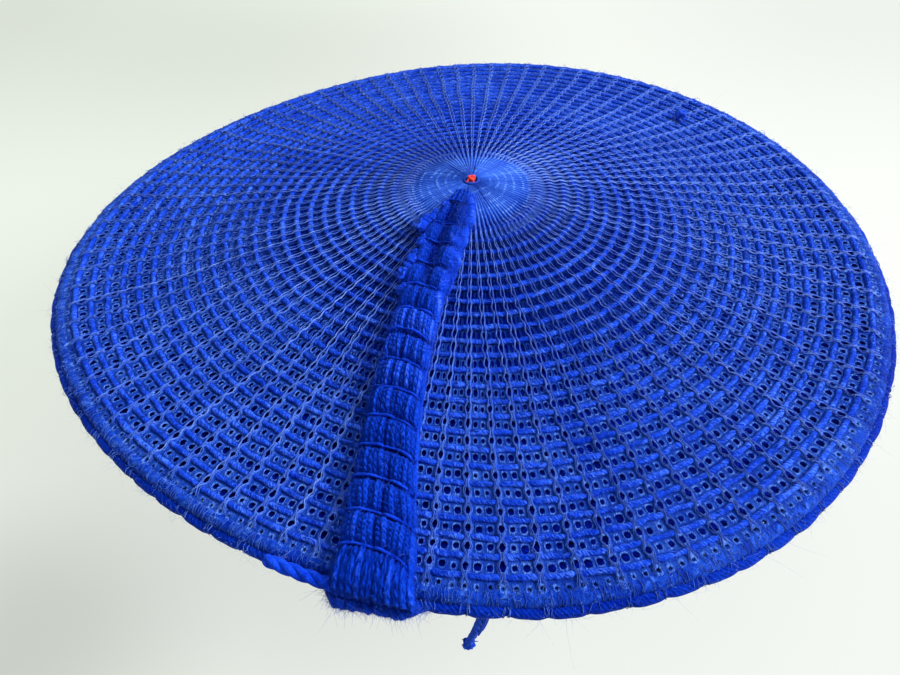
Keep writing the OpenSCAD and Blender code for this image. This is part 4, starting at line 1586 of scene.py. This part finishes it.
def make_lining_tip():
    """The round cloth over the lining's wall, wavy between its middle and its edge."""
    tip_low, tip_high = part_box("lining_tip")
    strands = Strands()
    phi = round_turn(240)
    r = np.linspace(0.5 * MM, tip_high.x - 0.2 * MM, 24)
    r_grid, phi_grid = across_and_along(r, phi)
    wave = 0.5 * MM * ripple(phi_grid, (4, 7, 11), 6) * np.sin(math.pi * r_grid / tip_high.x) ** 2
    top = polar(r_grid, phi_grid, tip_high.z + wave)
    under = top - (0, 0, tip_high.z - tip_low.z)
    strands.slab(top, under)
    tip = strands.build("lining_tip_cloth", LINING, "lining_cloth", "lining_tip")


def make_piping():
    """Two plies of fine twisted piping along the headband's upper edge."""
    low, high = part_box("headband_piping")
    at_r, at_z, thick = ring_sizes(low, high)
    strands = Strands()
    phi = round_turn(560)
    for ply in range(2):
        turn = 113 * phi + ply * math.pi
        path = torus_line(phi, at_r, at_z, thick * 0.42, turn)
        strands.tubes(path, UP, thick * 0.58, None, 6, True)
    strands.build("headband_piping_plies", PIPING, "yarn", "headband_piping")


def make_edge_stitches():
    """Small slanted stitches that hold the edge's tape, outside and inside the band's foot."""
    strands = Strands()
    count = 150
    phi = round_turn(count)
    s = np.linspace(0, 1, 5)
    bulge = 0.35 * MM * np.sin(math.pi * s)
    outside = (edge_high.x, edge_high.z - 3.2 * MM, 1)
    inside = (band_high.x - BAND_THICK, band_low.z + 3 * MM, -1)
    for r, z, way in (outside, inside):
        around = phi[:, None] + 3.2 * MM * s / r
        at_r = r + way * (bulge - 0.05 * MM)
        paths = polar(at_r, around, z + 1.6 * MM * s)
        strands.tubes(paths, (0.01, 0.02, 1), 0.32 * MM, None, 5, shade=1.0)
    strands.build("edge_stitches", PIPING, "yarn")


# ---- Small pieces ----


drawstring_low, drawstring_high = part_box("net_drawstring")
_, STRING_Z, STRING_HALF = ring_sizes(drawstring_low, drawstring_high)


def make_drawstring():
    """The drawstring round the hole at the point."""
    strands = Strands()
    phi = round_turn(80)
    for ply in range(2):
        path = torus_line(phi, 3.6 * MM, STRING_Z - 0.5 * MM, STRING_HALF * 0.4, 9 * phi + ply * math.pi)
        strands.tubes(path, UP, STRING_HALF * 0.5, None, 8, True, 0.55)
    strands.build("drawstring_plies", GATHER, "netting", "net_drawstring")


def make_point_knot():
    """The red knot in the point's hole: a thread wound round and up, and its two ends."""
    knot = Strands()
    s = np.linspace(0, 1, 120)
    turn = TAU * 4.3 * s
    spread = (1.25 + 0.35 * np.sin(3 * turn)) * MM
    height = STRING_Z + 0.6 * MM * np.sin(2.3 * turn) - 0.2 * MM + 1.2 * MM * s
    path = np.stack([spread * np.cos(turn), spread * np.sin(turn) * 0.9, height], -1)
    knot.tubes(path, UP, 0.72 * MM, None, 8, False, 1.0)
    for sway in (-1, 1):
        s = np.linspace(0, 1, 12)
        end = [(0.6 + 1.6 * s) * sway * MM, (-1.0 - 2.4 * s) * MM, STRING_Z + (0.8 - 1.2 * s * s) * MM]
        end = np.stack(end, -1)
        knot.tubes(end, UP, (0.6 - 0.25 * s) * MM, None, 6, False, 0.9)
    knot.build("point_knot", RED, "red_thread", "apex_tie")


def tangle(strands, middle, size, turns, thick, seed, tone=1.0):
    """A small knot of yarn wound on itself."""
    random = np.random.default_rng(seed)
    s = np.linspace(0, TAU, 90)
    a, b, c = random.uniform(0, TAU, 3)
    path = [np.sin(turns * s + a), np.sin((turns + 1) * s + b), 0.7 * np.sin((turns + 2) * s + c)]
    path = np.stack(path, -1)
    strands.tubes(middle + path * (size - thick), (0.1, 0.2, 1), thick, None, 8, True, tone)


def make_darn_knot():
    """The small knot of yarn in the netting, at the back on the right."""
    low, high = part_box("darn_knot")
    strands = Strands()
    tangle(strands, np.array((low + high) / 2) - (0, 0, 0.8 * MM), 3.4 * MM, 2, 1.2 * MM, 4)
    strands.build("darn_knot_yarn", YARN, "yarn", "darn_knot")


TAIL_D = 3 * MM
TAIL_TOP_X, TAIL_TOP_Y = 37.3 * MM, -208.7 * MM
TAIL_LAY = 13 * MM
# The second strand's plies: share of the loose end's length, and x and y beside it in mm
STUB_PLIES = ((0.60, 1.5, -0.5), (0.52, 2.3, 0.4), (0.57, 0.7, 0.7))


def cord_line():
    """The loose end's line, from the rim cord's underside to the knot, moved with the rim."""
    low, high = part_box("yarn_tail")
    top = np.array([TAIL_TOP_X, TAIL_TOP_Y, high.z])
    drop = high.z - low.z
    s = np.linspace(0, 1, 26)
    sway = np.stack([-4.6 * s**1.25, -2.0 * np.sin(math.pi * s * 0.5) ** 0.8, 0 * s], -1)
    route = top + sway * MM - np.outer(s, [0, 0, drop])
    shift = by_hand(top[None])[0] - top
    return route + shift


def loose_plies(fine, length, diameter):
    """The loose end itself, of three plies twisted together."""
    strands = Strands(by_hand=False)
    s = np.linspace(0, 1, len(fine))
    for ply in range(3):
        turn = TAU * (s * length / TAIL_LAY + ply / 3)
        aside = np.stack([np.cos(turn), np.sin(turn), 0 * turn], -1) * diameter * 0.25
        thick = diameter * (0.28 + 0.02 * ripple(s * 9, (1, 2, 5), ply))
        strands.tubes(fine + aside, (0, 1, 0.1), thick, None, 10, False, 1.0)
    return strands.build("loose_end_plies", YARN_TAIL_PAINTED_LIGHT, "yarn", "yarn_tail")


def loose_stub(fine):
    """Its shorter second strand, of thin plies that end one by one."""
    stub = Strands(by_hand=False)
    for i, (reach, x, y) in enumerate(STUB_PLIES):
        part = fine[: int(reach * len(fine))] + np.array([x, y, 0]) * MM
        thick = (0.75 - 0.3 * np.linspace(0, 1, len(part)) ** 4) * MM
        stub.tubes(part, (0, 1, 0.1), thick, None, 8, False, 0.9 + 0.15 * i)
    return stub.build("loose_end_stub", YARN_TAIL_PAINTED_LIGHT, "yarn")


def loose_knot(middle):
    """The frayed knot at its end."""
    knot = Strands(by_hand=False)
    blob(knot, middle, 1.75 * MM * np.array([1.1, 0.9, 1.0]), 9, 0.95)
    tangle(knot, middle, 2.1 * MM, 2, 0.65 * MM, 9)
    count = 16
    turn = round_turn(count) + rng.normal(0, 0.15, count)
    way = np.stack([np.cos(turn), rng.normal(0, 0.4, count), np.sin(turn)], -1)
    hairs(knot, middle + 0.8 * MM * way, way, rng.uniform(1.0, 2.6, count) * MM, 0.25, 0.42 * MM, 6)
    return knot.build("loose_end_knot", YARN_TAIL_PAINTED_LIGHT, "yarn", "tail_knot")


def make_loose_end():
    """A limp end of yarn that hangs under the front of the rim, knotted and frayed."""
    route = cord_line()
    length = float(np.linalg.norm(np.diff(route, axis=0), axis=1).sum())
    diameter = TAIL_D
    s = np.linspace(0, 1, 90)
    fine = np.stack([np.interp(s, np.linspace(0, 1, len(route)), route[:, k]) for k in range(3)], -1)
    tail = loose_plies(fine, length, diameter)
    frayed = loose_stub(fine)
    end = loose_knot(route[-1] - (0, 0, 1.2 * MM))


make_camera()
make_loose_end()
make_stage()
make_lights()
make_crown_net()
make_crown_ribs()
make_crown_rings()
make_ring_wisps()
make_gather()
make_crown_cloth()
make_rim_binding()
make_binding_threads()
make_binding_frizz()
make_rim_cord()
make_rim_ties()
make_seam_strip()
make_strip_fuzz()
make_seam_roll()
make_roll_fuzz()
make_seam_stitches()
make_seam_end()
make_seam_end_fuzz()
make_cord_end()
make_side_net()
make_side_ribs()
make_side_rings()
make_side_cloth()
make_side_seam()
make_spokes()
make_stays()
make_hub()
make_hoops()
make_headband()
make_edge_binding()
make_lining()
make_lining_tip()
make_piping()
make_edge_stitches()
make_drawstring()
make_point_knot()
make_darn_knot()
make_rim_fuzz()
make_crown_fuzz()
